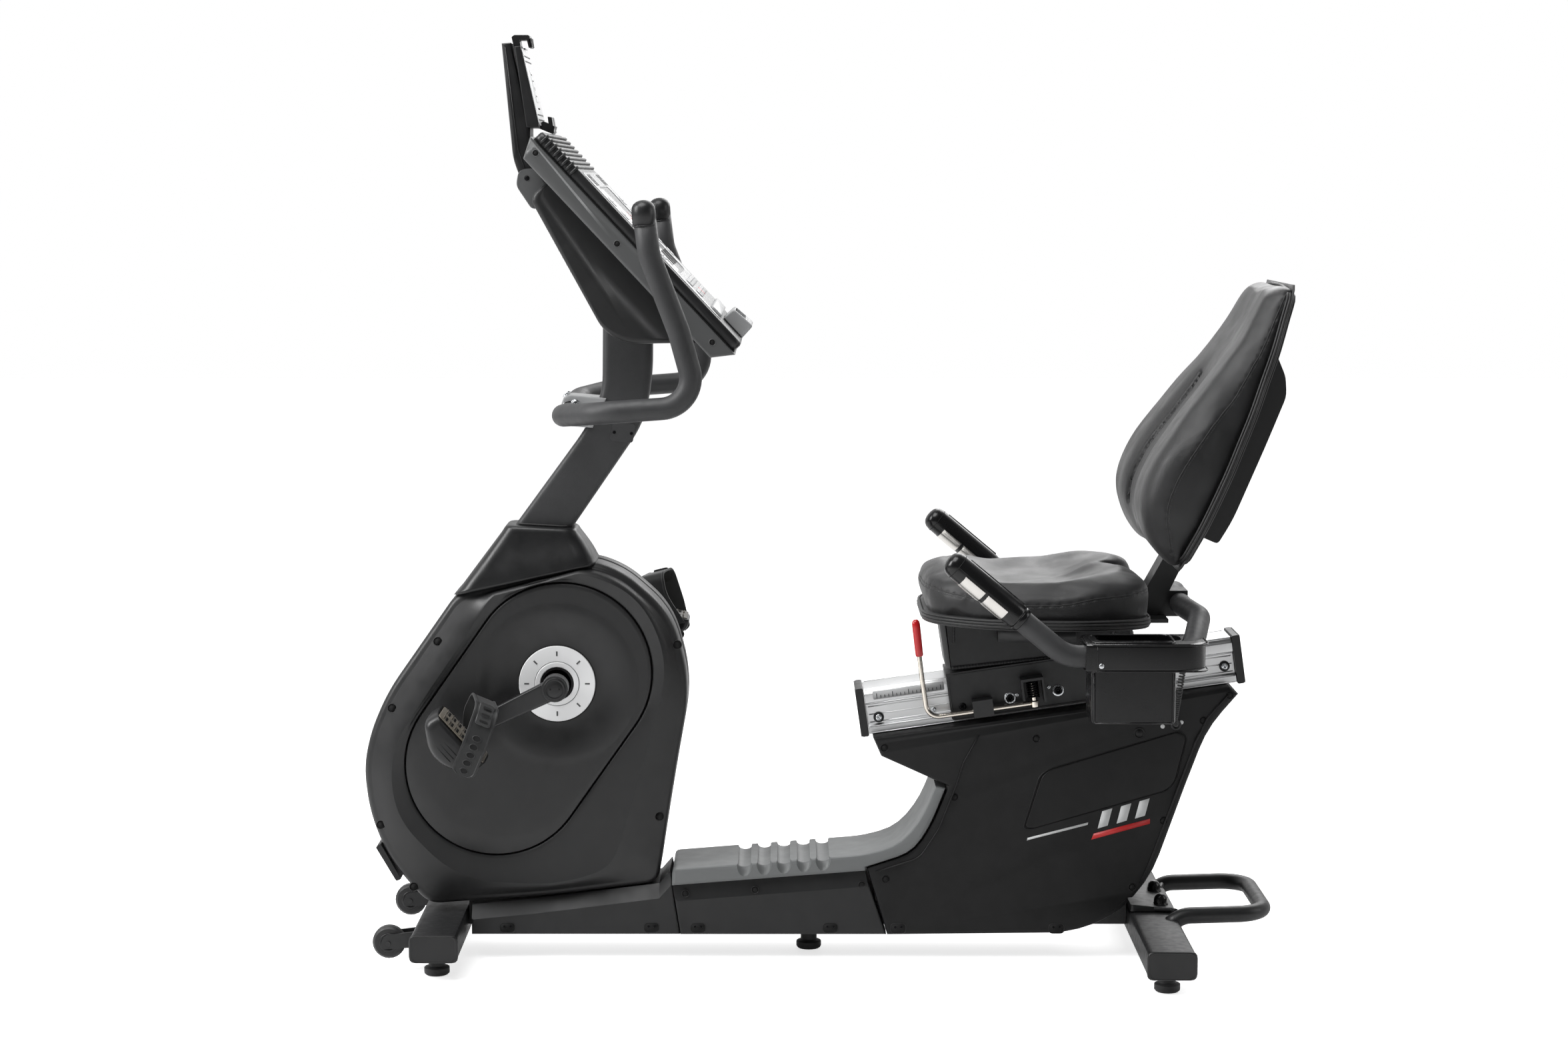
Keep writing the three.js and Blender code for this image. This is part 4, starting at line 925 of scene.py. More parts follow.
def grip(side):
    """A heart-rate grip with two metal plates, on a sloping end of the seat bar."""
    def at(s, across=0.0, up=0.0):
        """A point s along the grip's axis, moved across and up, in mm."""
        n = Vector((-GRIP_DIR.z, 0, GRIP_DIR.x))
        c = Vector((GRIP_TOP[0], side * GRIP_TOP[1], GRIP_TOP[2])) + GRIP_DIR * s
        c += Vector((0, across, 0)) + n * -up
        return P(*c)
    prof = [(0.01, -14), (6, -13.6), (11.5, -12), (16, -8.5), (18.8, -4), (20, 2), (20.3, 20), (20.3, 110),
            (19.8, 121), (19.2, 124), (17.4, 124.5)]
    b = Build()
    b.lathe(at(0), GRIP_DIR, prof, 0, 40)
    b.lathe(at(0), GRIP_DIR, [(19.0, 124.6), (19.4, 125.2), (19.4, 131), (18.2, 133), (17.1, 133.2)], 0, 40)
    b.lathe(at(0), GRIP_DIR, [(19.6, 4.2), (20.6, 4.4), (20.6, 5.2), (20.1, 5.4)], 1, 40)
    obj = b.done("pulse_grip_" + tag(side), ["gloss", "dark"], "seat", "satin_black_plastic")
    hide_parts("grip_" + tag(side))
    # curved stainless plates on the upper side, in raised borders
    n = Vector((-GRIP_DIR.z, 0, GRIP_DIR.x)) * -1
    y = Vector((0, 1, 0))
    for index, (s0, s1) in enumerate(((22, 60), (66, 104))):
        for mat, grow, r, label in (("gloss", 2.2, 20.9, "border"), ("steel", 0, 21.4, "plate")):
            rows = []
            for i in range(13):
                s = lerp(s0 - grow, s1 + grow, i / 12)
                edge = 1 - (abs(i - 6) / 6) ** 8 * 0.02
                rows.append([at(s) + (n * math.cos(a) + y * math.sin(a)) * r * edge / 1000
                             for a in [lerp(-1.45 - grow * 0.03, 1.45 + grow * 0.03, j / 24)
                                       for j in range(25)]])
            piece = make("pulse_%s_%s_%d" % (label, tag(side), index), *grid(rows), mat, "seat",
                         "satin_black_plastic")
            wall = piece.modifiers.new("wall", "SOLIDIFY")
            wall.thickness = 0.0009 if mat == "steel" else 0.0012
            wall.offset = -1
            smooth_edges(piece, 0.0003)
    fin = [at(s, 0, -20.2) for s in (14, 40, 70, 100, 118)]
    cord_line("grip_fin_" + tag(side), fin, 1.5, "gloss", "seat", "satin_black_plastic")
    cord_line("grip_seam_" + tag(side), [at(s, side * 20.35, -1) for s in (4, 40, 80, 122)], 0.35, "dark",
              "seat", "satin_black_plastic")
    screws("grip_screws_" + tag(side), [(at(s, 0, -20.0), -n) for s in (30, 96)], "blackscrew", "seat",
           "satin_black_plastic", 2.6)


for side in (LEFT, RIGHT):
    grip(side)


# ---------------------------------------------------------------- lever and plunger
RAIL_FOOT = (66, 358)
RAIL_DIR = Vector((math.cos(RAIL_TILT), 0, math.sin(RAIL_TILT)))
RAIL_UP = Vector((-RAIL_DIR.z, 0, RAIL_DIR.x))


def rail_mm(s, n, y):
    """Drawing millimetres of a point s along the rail, n above its foot and y across."""
    return tuple(Vector((RAIL_FOOT[0], y, RAIL_FOOT[1])) + RAIL_DIR * s + RAIL_UP * n)


def on_rail(s, n, y):
    return P(*rail_mm(s, n, y))


rod = bent([(138, -66, 536), (148, -66, 452), rail_mm(95, 17, -66), rail_mm(258, 17, -66)], 20, 2)
obj = pipe("release_rod", rod, 4, "nickel", "lever", "nickel", 18, dome=2.5)
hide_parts("slide_lever")
top, foot = P(137.4, -66, 545), P(144.0, -66, 487)
axis = (top - foot).normalized()
long = (top - foot).length * 1000
b = Build().lathe(foot, axis, [(4.4, 0), (5.6, 0.6), (6.2, 3), (6.3, 12), (6.5, long - 12),
                               (6.3, long - 6), (5.4, long - 2), (3, long + 0.6), (0.01, long + 1.1)], 0,
                               24)
obj = b.done("release_grip", "red_vinyl", "lever", "red_vinyl")
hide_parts("lever_grip")


# ---------------------------------------------------------------- upholstery
def join_mesh(obj):
    """Applies an object's modifiers to its mesh."""
    dg = bpy.context.evaluated_depsgraph_get()
    mesh = bpy.data.meshes.new_from_object(obj.evaluated_get(dg))
    obj.modifiers.clear()
    obj.data = mesh
    return obj


def puff(obj, voxel, pressure, cap):
    """Remesh, inflate as cloth, hold each point near its start, then settle."""
    m = obj.modifiers.new("remesh", "REMESH")
    m.mode = "VOXEL"
    m.voxel_size = voxel
    join_mesh(obj)
    start = [v.co.copy() for v in obj.data.vertices]
    cloth = obj.modifiers.new("cloth", "CLOTH")
    cloth.settings.quality = 5
    cloth.settings.mass = 0.25
    cloth.settings.tension_stiffness = 18
    cloth.settings.compression_stiffness = 18
    cloth.settings.bending_stiffness = 0.6
    cloth.settings.use_pressure = True
    cloth.settings.uniform_pressure_force = pressure
    cloth.settings.effector_weights.gravity = 0
    cloth.collision_settings.use_collision = False
    SCENE.frame_start, SCENE.frame_end = 1, 20
    for f in range(1, 21):
        SCENE.frame_set(f)
    join_mesh(obj)
    SCENE.frame_set(1)
    for v, was in zip(obj.data.vertices, start):
        move = v.co - was
        if move.length > cap:
            v.co = was + move.normalized() * cap
    bm = bmesh.new()
    bm.from_mesh(obj.data)
    for _ in range(3):
        bmesh.ops.smooth_vert(bm, verts=bm.verts, factor=0.5, use_axis_x=True, use_axis_y=True,
                              use_axis_z=True)
    bm.to_mesh(obj.data)
    bm.free()
    sub = obj.modifiers.new("sub", "SUBSURF")
    sub.levels = sub.render_levels = 1
    join_mesh(obj)
    obj.data.polygons.foreach_set("use_smooth", [True] * len(obj.data.polygons))
    obj.data.materials.clear()
    obj.data.materials.append(M["vinyl_black"])
    return obj


def tree(obj):
    """A surface of an object that nearest points can be looked up on."""
    bm = bmesh.new()
    bm.from_mesh(obj.data)
    made = BVHTree.FromBMesh(bm)
    bm.free()
    return made


def press(obj, line, half, depth):
    """Pushes the surface in along a line of points, as a sewn channel."""
    for v in obj.data.vertices:
        d = min((v.co - p).length for p in line)
        if d < half * 2.2:
            v.co -= v.normal * depth * math.exp(-(d / half) ** 2)


def on_skin(skin, line, lift=0.0003):
    """The nearest points of a surface to a line of points, lifted off it a little."""
    out = []
    for p in line:
        spot, normal, _, _ = skin.find_nearest(p)
        out.append(spot + normal * lift)
    return out


def resample(line, gap, closed=False):
    """Points at an even gap along a line."""
    pts = line + [line[0]] if closed else line
    out, want = [pts[0]], gap
    for a, b in zip(pts, pts[1:]):
        length = (b - a).length
        while want <= length:
            out.append(a.lerp(b, want / length))
            want += gap
        want -= length
    return out


def even(line, rounds=3, closed=False):
    """Averages each point of a line with its neighbours."""
    pts = list(line)
    for _ in range(rounds):
        n = len(pts)
        new = list(pts)
        for i in range(n):
            if closed or 0 < i < n - 1:
                new[i] = (pts[i - 1] + pts[i] * 2 + pts[(i + 1) % n]) / 4
        pts = new
    return pts


def stitch(name, skin, line, closed=False):
    """Separate thread stitches along a line on the skin."""
    pts = resample(line, 0.0019, closed)
    b = Build()
    for i in range(0, len(pts) - 2, 2):
        a, c = on_skin(skin, [pts[i], pts[i + 1]], 0.0001)
        if (c - a).length < 1e-5:
            continue
        b.rod([a, a.lerp(c, 0.5), c], 0.38, 5)
    return b.done(name, "rubber_black", "seat", "vinyl_black")


# seat cushion: drawn as rays from its middle
SEAT_PLAN = rounded([(146, -120, 60), (250, -200, 60), (400, -212, 60), (498, -180, 40), (498, -50, 44),
                     (448, 0, 36), (498, 50, 44), (498, 180, 40), (400, 212, 60), (250, 200, 60),
                     (146, 120, 60)], 8)
SEAT_MID = (320, 0)


def table_of(rows, x):
    """A value eased between rows of (x, value)."""
    for (a, u), (b, v) in zip(rows, rows[1:]):
        if x <= b:
            return lerp(u, v, ease((x - a) / (b - a)) if x > a else 0)
    return rows[-1][1]


def seat_edge(x):
    return table_of(((146, 606), (205, 600), (268, 588), (340, 590), (430, 602), (498, 608)), x)


def seat_cushion():
    """The seat pad with its seam, thread and welts."""
    count = 160
    reachs = polar(SEAT_PLAN, SEAT_MID, count)
    rings = []

    def rim(out, z):
        """The plan outline as a closed row of points, moved out by so many mm."""
        rays = zip(reachs, turns(count))
        return [P(SEAT_MID[0] + (r + out) * math.cos(a), (r + out) * math.sin(a), z) for r, a in rays]

    def ring(t, inset, z_of):
        row = []
        for k in range(count):
            a = TAU * k / count
            r = max(1.0, reachs[k] * t - inset)
            x, y = SEAT_MID[0] + r * math.cos(a), r * math.sin(a)
            row.append(P(x, y, z_of(x, y)))
        return row

    def top(t):
        def z(x, y):
            crown = 21 * math.sqrt(max(0.0, 1 - max(0.0, (t - 0.8) / 0.2) ** 2.2))
            dish = 19 * ease((0.86 - t) / 0.55) if t < 0.86 else 0.0
            nose = 6 * ease((260 - x) / 90) * math.exp(-(y / 90) ** 2)
            return seat_edge(x) + crown - dish + nose
        return z
    for t in (0.02, 0.12, 0.25, 0.38, 0.5, 0.6, 0.7, 0.78, 0.84, 0.89, 0.93, 0.965, 0.99):
        rings.append(ring(t, 3, top(t)))
    for part, inset in ((0.0, 3.5), (0.12, 2), (0.5, 2.5), (0.85, 3), (1.0, 4.5)):
        rings.append(ring(1, inset, lambda x, y, p=part: lerp(seat_edge(x) - 2, 562, p)))
    for t, inset in ((1, 12), (0.5, 0), (0.02, 0)):
        rings.append(ring(t, inset, lambda x, y: 556))
    obj = Build().rings(rings).done("seat_pad", "vinyl_black", "seat", "vinyl_black")
    puff(obj, 0.0052, 3.2, 0.009)
    skin = tree(obj)
    seam = []
    for p in rim(-1.5, 0):
        x = p.x * 1000 - SHIFT
        seam.append(Vector((p.x, p.y, (seat_edge(x) - 1) / 1000)))
    seam = even(on_skin(skin, seam), 3, True)
    press(obj, seam[::2], 0.0026, 0.0016)
    skin = tree(obj)
    cord_line("seat_seam_piping", on_skin(skin, seam, 0.0002), 0.9, "vinyl_black", "seat", "vinyl_black",
              closed=True)
    stitch("seat_seam_thread", skin, [p - Vector((0, 0, 0.0042)) for p in seam], True)
    # stacked welts round the foot of the cushion
    base = Build()
    for z, r, out in ((561.5, 2.0, 0.6), (557.2, 2.3, 1.2), (552.8, 2.3, 1.0), (549.2, 1.8, -0.6)):
        base.hoop(rim(out - 2.4, z), r, 9)
    base.rings([rim(-inset, z) for inset, z in ((6, 563), (3.6, 561), (3.2, 550), (6, 547.9), (40, 547.7))])
    base.done("seat_pad_welts", "vinyl_black", "seat", "vinyl_black")
    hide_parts("seat_cushion")


seat_cushion()

# back cushion: stations along the lean, each a closed section
LEAN = math.radians(66)
LEAN_DIR, LEAN_OUT = (math.cos(LEAN), math.sin(LEAN)), (math.sin(LEAN), -math.cos(LEAN))
BACK_AT = (545, 660)
BACK_SIDE = rounded([(534, 626, 20), (492, 674, 40), (474, 740, 50), (499, 807, 60), (563, 895, 60),
                     (638, 984, 60), (690, 1084, 30), (722, 1080, 20), (686, 968, 60), (640, 850, 60),
                     (579, 714, 60)], 8)
BACK_WIDE = ((-62, 168), (-40, 190), (0, 206), (60, 219), (130, 219), (220, 203), (320, 178), (420, 149),
             (460, 128), (480, 96))


def back_span(s):
    """Front and rear distance of the side profile at station s, across the lean."""
    ox, oz = BACK_AT[0] + LEAN_DIR[0] * s, BACK_AT[1] + LEAN_DIR[1] * s
    found = []
    for i, (ax, az) in enumerate(BACK_SIDE):
        bx, bz = BACK_SIDE[(i + 1) % len(BACK_SIDE)]
        da = (ax - ox) * LEAN_DIR[0] + (az - oz) * LEAN_DIR[1]
        db = (bx - ox) * LEAN_DIR[0] + (bz - oz) * LEAN_DIR[1]
        if (da > 0) != (db > 0):
            t = da / (da - db)
            x, z = lerp(ax, bx, t), lerp(az, bz, t)
            found.append((x - ox) * LEAN_OUT[0] + (z - oz) * LEAN_OUT[1])
    return (min(found), max(found)) if len(found) >= 2 else None


def back_point(s, n, y):
    """A point at station s up the lean, n in front of its line and y across."""
    return P(BACK_AT[0] + LEAN_DIR[0] * s + LEAN_OUT[0] * n, y,
             BACK_AT[1] + LEAN_DIR[1] * s + LEAN_OUT[1] * n)


BACK_S = [s for s in range(-80, 500, 8) if back_span(s) and back_span(s)[1] - back_span(s)[0] > 12]


def back_front(s, u):
    """Front surface distance at width share u: raised sides and a flat channel in the lumbar part."""
    n0, n1 = back_span(s)
    thick = n1 - n0
    lumbar = ease((s + 10) / 70) * ease((320 - s) / 90)
    bolster = 13 * lumbar * (1 - ease((abs(u) - 0.18) / 0.24)) + 4 * (1 - ease(abs(u) / 0.6))
    rim = max(0.0, (abs(u) - 0.80) / 0.20)
    fall = min(thick * 0.42, 34) * (1 - math.sqrt(max(0.0, 1 - min(1.0, rim) ** 2.0)))
    return n0 + 3.5 + bolster + fall


def back_cushion():
    """The back pad with its sewn channels, seams, welts and rear cloth."""
    rings = []
    for s in BACK_S:
        n0, n1 = back_span(s)
        w = table_of(BACK_WIDE, s) - 4
        us = [-1 + 2 * i / 44 for i in range(45)]
        shape = [(back_front(s, u), w * u) for u in us]
        edge = back_front(s, 1)
        rear = n1 - 8
        for p in (0.3, 0.65):
            shape.append((lerp(edge, rear, p), w + 1.5 * math.sin(p * 3.1)))
        shape += [(rear, w - 1), (n1 - 4.5, w - 5)]
        shape += [(n1 - 4, w * v) for v in (0.7, 0.35, 0, -0.35, -0.7)]
        shape += [(n1 - 4.5, -w + 5), (rear, -w + 1)]
        for p in (0.65, 0.3):
            shape.append((lerp(edge, rear, p), -w - 1.5 * math.sin(p * 3.1)))
        rings.append([back_point(s, n, y) for n, y in shape])
    obj = Build().rings(rings).done("back_pad", "vinyl_black", "seat", "vinyl_black")
    puff(obj, 0.0056, 3.0, 0.008)
    # sewn channels at the sides of the lumbar pad
    for side in (LEFT, RIGHT):
        line = []
        for s in range(36, 268, 4):
            share = side * (0.27 + 0.03 * math.cos(s / 60))
            line.append(back_point(s, back_front(s, 0.27), table_of(BACK_WIDE, s) * share))
        press(obj, on_skin(tree(obj), line, 0), 0.0048, 0.0062)
    skin = tree(obj)
    for side in (LEFT, RIGHT):
        seam = []
        for s in BACK_S[2:-1]:
            n0, n1 = back_span(s)
            w = table_of(BACK_WIDE, s)
            seam.append(back_point(s, n0 + min((n1 - n0) * 0.44, 34), side * (w + 4)))
        seam = even(on_skin(skin, seam), 3)
        press(obj, seam[::2], 0.0024, 0.0014)
        skin = tree(obj)
        cord_line("back_seam_" + tag(side), on_skin(skin, seam, 0.0001), 0.8, "vinyl_black", "seat",
                  "vinyl_black")
        stitch("back_thread_" + tag(side), skin, [p + Vector((0.0042, 0, 0)) for p in seam])
    # stacked welts round the rear rim
    rims = Build()
    for back, r, out in ((9.5, 2.0, 0.4), (5.6, 2.4, 1.6), (1.4, 2.4, 1.4), (-2.2, 1.8, -1.6)):
        line = []
        for side, order in ((LEFT, BACK_S), (RIGHT, BACK_S[::-1])):
            for s in order:
                w = table_of(BACK_WIDE, s) - 4 + out
                line.append(back_point(s, back_span(s)[1] - back - 2, side * w))
        line = even(line, 4, True)
        rims.hoop(line, r, 9)
    rims.done("back_pad_welts", "vinyl_black", "seat", "vinyl_black")
    panel = [[back_point(s, back_span(s)[1] - 3.2 + 0.4 * math.cos(u * 1.5),
                         (table_of(BACK_WIDE, s) - 5) * u)
              for u in [-1 + i / 6 for i in range(13)]] for s in BACK_S]
    board = make("back_rear_cloth", *grid(panel), "vinyl_black", "seat", "vinyl_black")
    wall = board.modifiers.new("wall", "SOLIDIFY")
    wall.thickness = 0.002
    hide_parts("back_cushion")


back_cushion()

# ---------------------------------------------------------------- console
FACE_TILT = math.radians(46.9)
FACE_DIR = Vector((math.cos(FACE_TILT), 0, -math.sin(FACE_TILT)))
FACE_OUT = Vector((-FACE_DIR.z, 0, FACE_DIR.x))


def on_face(s, n, y):
    """A point s down the sloping face, n out of it and y across."""
    return P(-435, y, 1309) + FACE_DIR * s / 1000 + FACE_OUT * n / 1000


def face_slab(outline, n0, n1, soft=1.5, b=None, mat=0):
    """A plate on the face from an outline [(s, y)], with eased top edges."""
    b = b or Build()
    mid = (sum(p[0] for p in outline) / len(outline), sum(p[1] for p in outline) / len(outline))

    def shrunk(k):
        return [(mid[0] + (s - mid[0]) * (1 - k / max(6, abs(s - mid[0]))),
                 mid[1] + (y - mid[1]) * (1 - k / max(6, abs(y - mid[1]))))
                for s, y in outline]
    rows = [(0, n0), (0, n1 - soft), (soft * 0.3, n1 - soft * 0.3), (soft, n1)]
    return b.rings([[on_face(s, n, y) for s, y in shrunk(k)] for k, n in rows], mat)


bezel = Build()
outer = rect(0, 441, -188, 188, 12, 6)
rows = [(0, -18), (0, -5), (1.2, -2), (3.5, -0.4), (7, 0)]
bezel.rings([[on_face(s + (k if s < 220 else -k), n, y + (k if y < 0 else -k)) for s, y in outer]
             for k, n in rows])
obj = bezel.done("console_frame", "satin_black_plastic", "frame", "satin_black_plastic")
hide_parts("console_bezel")
ribs = Build()
for k in range(8):
    s = 12 + 9.2 * k
    line = [on_face(s, -15, -188.3), on_face(s, -5, -188.3), on_face(s, -1.2, -186.6),
            on_face(s, 0.9, -181)]
    line += [on_face(s, 1.3, y) for y in range(-170, 171, 20)]
    line += [on_face(s, 0.9, 181), on_face(s, -1.2, 186.6), on_face(s, -5, 188.3), on_face(s, -15, 188.3)]
    ribs.rod(line, 2.5, 10)
ribs.done("console_vents", "satin_black_plastic", "frame", "satin_black_plastic")
cord_line("console_joint", [on_face(s + 0.5, -17.9, y * 1.002) for s, y in outer], 0.9, "dark", "frame",
          "satin_black_plastic", closed=True)

# face panel with a window, pads, keys and rests
panel = Build()
out_line, in_line = rect(86, 392, -172, 172, 14, 6), rect(118, 298, -114, 114, 8, 6)
panel.rings([[on_face(s, n, y) for s, y in line] for line, n in
             ((out_line, 0.05), (out_line, 1.0), (rect(87, 391, -171, 171, 14, 6), 1.5),
              (rect(116.5, 299.5, -115.5, 115.5, 9, 6), 1.5), (in_line, 1.0), (in_line, -0.7))],
              caps=False)
panel.done("console_face", "face_grey", "frame", "silver_grey")
screen = Build()
face_slab(rect(119, 297, -113, 113, 7), -0.7, 0.35, 0.3, screen)
for i in range(16):
    tall = [3, 4, 6, 8, 9, 8, 6, 5, 6, 8, 10, 9, 7, 5, 4, 3][i]
    for j in range(tall):
        c = on_face(228 - 6.2 * j, 0.42, -58 + 7.6 * i)
        screen.box(c, (2.2, 2.6, 0.12), Matrix.Rotation(FACE_TILT, 3, "Y"), 1)
for y in (-92, -30, 30, 92):
    face_slab(rect(252, 282, y - 24, y + 24, 3), 0.32, 0.5, 0.1, screen, 2)
obj = screen.done("console_display", ["screen_glass", "print_red", "dark"], "frame", "screen_glass")
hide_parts("console_screen")
keys = Build()
for row, s in enumerate((312, 334)):
    for col in range(7):
        y = -108 + 36 * col
        face_slab(rect(s, s + 15, y - 13, y + 13, 5), 1.4, 3.0, 1.0, keys,
                  2 if (row == 1 and col == 3) else 0)
        face_slab(rect(s + 6.4, s + 8.2, y - 5, y + 5, 0.8), 2.9, 3.15, 0.1, keys, 1)
for side in (-1, 1):
    for k in range(5):
        face_slab(rect(140 + 28 * k, 158 + 28 * k, side * 144 - 15, side * 144 + 15, 6), 1.4, 2.8, 1.0,
                  keys, 0)
        face_slab(rect(148 + 28 * k, 150 + 28 * k, side * 144 - 6, side * 144 + 6, 0.9), 2.7, 2.95, 0.1,
                  keys, 1)
    # grille slots drawn as near-black strips: painted shade in the openings
    for k in range(9):
        face_slab(rect(92 + 2.6 * k, 93.4 + 2.6 * k, side * 112 - 40, side * 112 + 40, 0.6), 1.3, 1.75,
                  0.1, keys, 3)
keys.done("console_keys", ["silver_grey", "dark", "red_vinyl", "dark"], "frame", "silver_grey")
rest = Build()
face_slab(rect(368, 390, -150, 150, 6), 1.3, 6.0, 2.5, rest)
rest.done("console_book_rest", "silver_grey", "frame", "silver_grey")

# grey shell: drilled screw wells and a soft rim
shell_holes = [on_face(s, n, side * 192) for side in (-1, 1)
               for s, n in ((18, -30), (201, -34), (408, -31))]
places = [(p, side_out(-1 if p.y < 0 else 1)) for p in shell_holes]
wells("console_wells", places, "trim_grey", "frame", "trim_grey", 4.6, 4.5, 0.3)
drill(NODES["console_shell"], places, 4.8, 5, "cut_console_shell")

# rear housing: edge roll, hinge cover and lower vents
house = rounded([(58, -50.5), (58, -86, 14), (283, -144, 46), (322, -130, 34), (394, -50.5)], 8)
rows = []
for y, k in ((-150.6, 7), (-150.6, 6), (-149.5, 2.2), (-146, 0.2), (-140, -0.4), (0, -0.4), (140, -0.4),
             (146, 0.2), (149.5, 2.2), (150.6, 6), (150.6, 7)):
    rows.append([on_face(s + (k if s < 200 else -k) * 0.9, n + k * (0.9 if n < -60 else 0), y)
                 for s, n in house])
obj = Build().rings(rows).done("console_housing", "shroud_plastic", "frame", "shroud_plastic")
for side in (LEFT, RIGHT):
    trim = rounded([(-487, 1226, 8), (-483, 1250, 9), (-459, 1252, 6), (-424, 1192, 3), (-463, 1190, 6)], 5)
    b = Build()
    b.rings([[P(x + k * 0.6, side * y, z + k * 0.4) for x, z in trim]
             for y, k in ((37, 0), (53, 0), (54.2, 1.2), (54.6, 3.5))])
    b.done("hinge_cover_" + tag(side), "trim_grey", "frame", "trim_grey", bevel=0.0006)
vents = Build()
for k in range(7):
    for y0, y1 in ((-112, -20), (20, 112)):
        a, c = on_face(110 + 12 * k, -100.6 - 3.1 * k, y0), on_face(110 + 12 * k, -100.6 - 3.1 * k, y1)
        vents.rod([a, c], 1.7, 8)
vents.done("console_rear_vents", "panel_plastic", "frame", "panel_plastic")
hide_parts("console_back")

# tablet holder: bright plate with slots, ribs on the arm, and the sprung hook
face_up = (P(-477, 0, 1441) - P(-449, 0, 1316)).normalized()
face_n = Vector((face_up.z, 0, -face_up.x))
plate = Build()


def on_plate(up, y, n):
    """A point up the tablet plate, y across and n out of it."""
    return P(-449, y, 1316) + face_up * up / 1000 + face_n * n / 1000


for (u0, u1, y0, y1, r), n1, mat in (((3, 124, -60, 60, 6), 1.3, 0), ((40, 92, -16, 16, 4), 1.9, 0)):
    line = rect(u0, u1, y0, y1, r, 4)
    plate.rings([[on_plate(u, y, n) for u, y in line] for n in (0.05, n1)], mat)
# the slots are near-black blocks set in the plate: painted shade in the openings
for u, y, hu, hy in ((50, 0, 1.2, 8), (62, -6, 3, 1.2), (62, 6, 3, 1.2), (74, 0, 1.2, 9), (84, 0, 1.6, 5),
                     (30, 0, 1.2, 12)):
    plate.rings([[on_plate(u + a * hu, y + c * hy, n) for a, c in ((-1, -1), (1, -1), (1, 1), (-1, 1))]
                 for n in (0.2, 2.05)], 1)
for u in (12, 20, 104, 112):
    plate.rings([[on_plate(u + a * 1.2, c * 52, n) for a, c in ((-1, -1), (1, -1), (1, 1), (-1, 1))]
                 for n in (0.2, 1.75)], 2)
plate.done("tablet_plate", ["silver", "dark", "rubber_black"], "tablet_holder", "silver_grey", bevel=0.0004)
cord_line("tablet_arm_line", [P(x, -36.3, z) for x, z in ((-503, 1440), (-490, 1330), (-484, 1280),
                                                          (-470, 1240))], 0.8,
          "satin_black_plastic", "tablet_holder", "satin_black_plastic")
pads = Build()
for y in (-16, 0, 16):
    pads.rings([[P(x, y + d, z) for x, z in ((-464.2, 1455), (-462.2, 1441), (-466, 1441), (-469, 1452))]
                for d in (-4, 4)])
pads.done("tablet_hook_pads", "rubber_black", "tablet_hook", "rubber_black", bevel=0.0005)
clip = Build()
for y in (-17, 17):
    clip.rings([[P(x, y + d, z) for x, z in ((-436.8, 1311), (-428.4, 1308.6), (-432.2, 1332.6),
                                             (-438.6, 1333.4))]
                for d in (-8, 8)])
clip.done("tablet_clip_lugs", "silver_grey", "tablet_holder", "silver_grey", bevel=0.0008)
screws("tablet_pin_heads", [(P(-470, side * 54.6, 1238), side_out(side)) for side in (-1, 1)],
       "blackscrew", "frame", "satin_black_plastic", 4.0, "dome")


# ---------------------------------------------------------------- pedals and straps
PITCH = {LEFT: math.radians(-48), RIGHT: math.radians(-12)}
PEDAL_AT = {LEFT: (-577.3, 370.7), RIGHT: (-280.7, 515.3)}


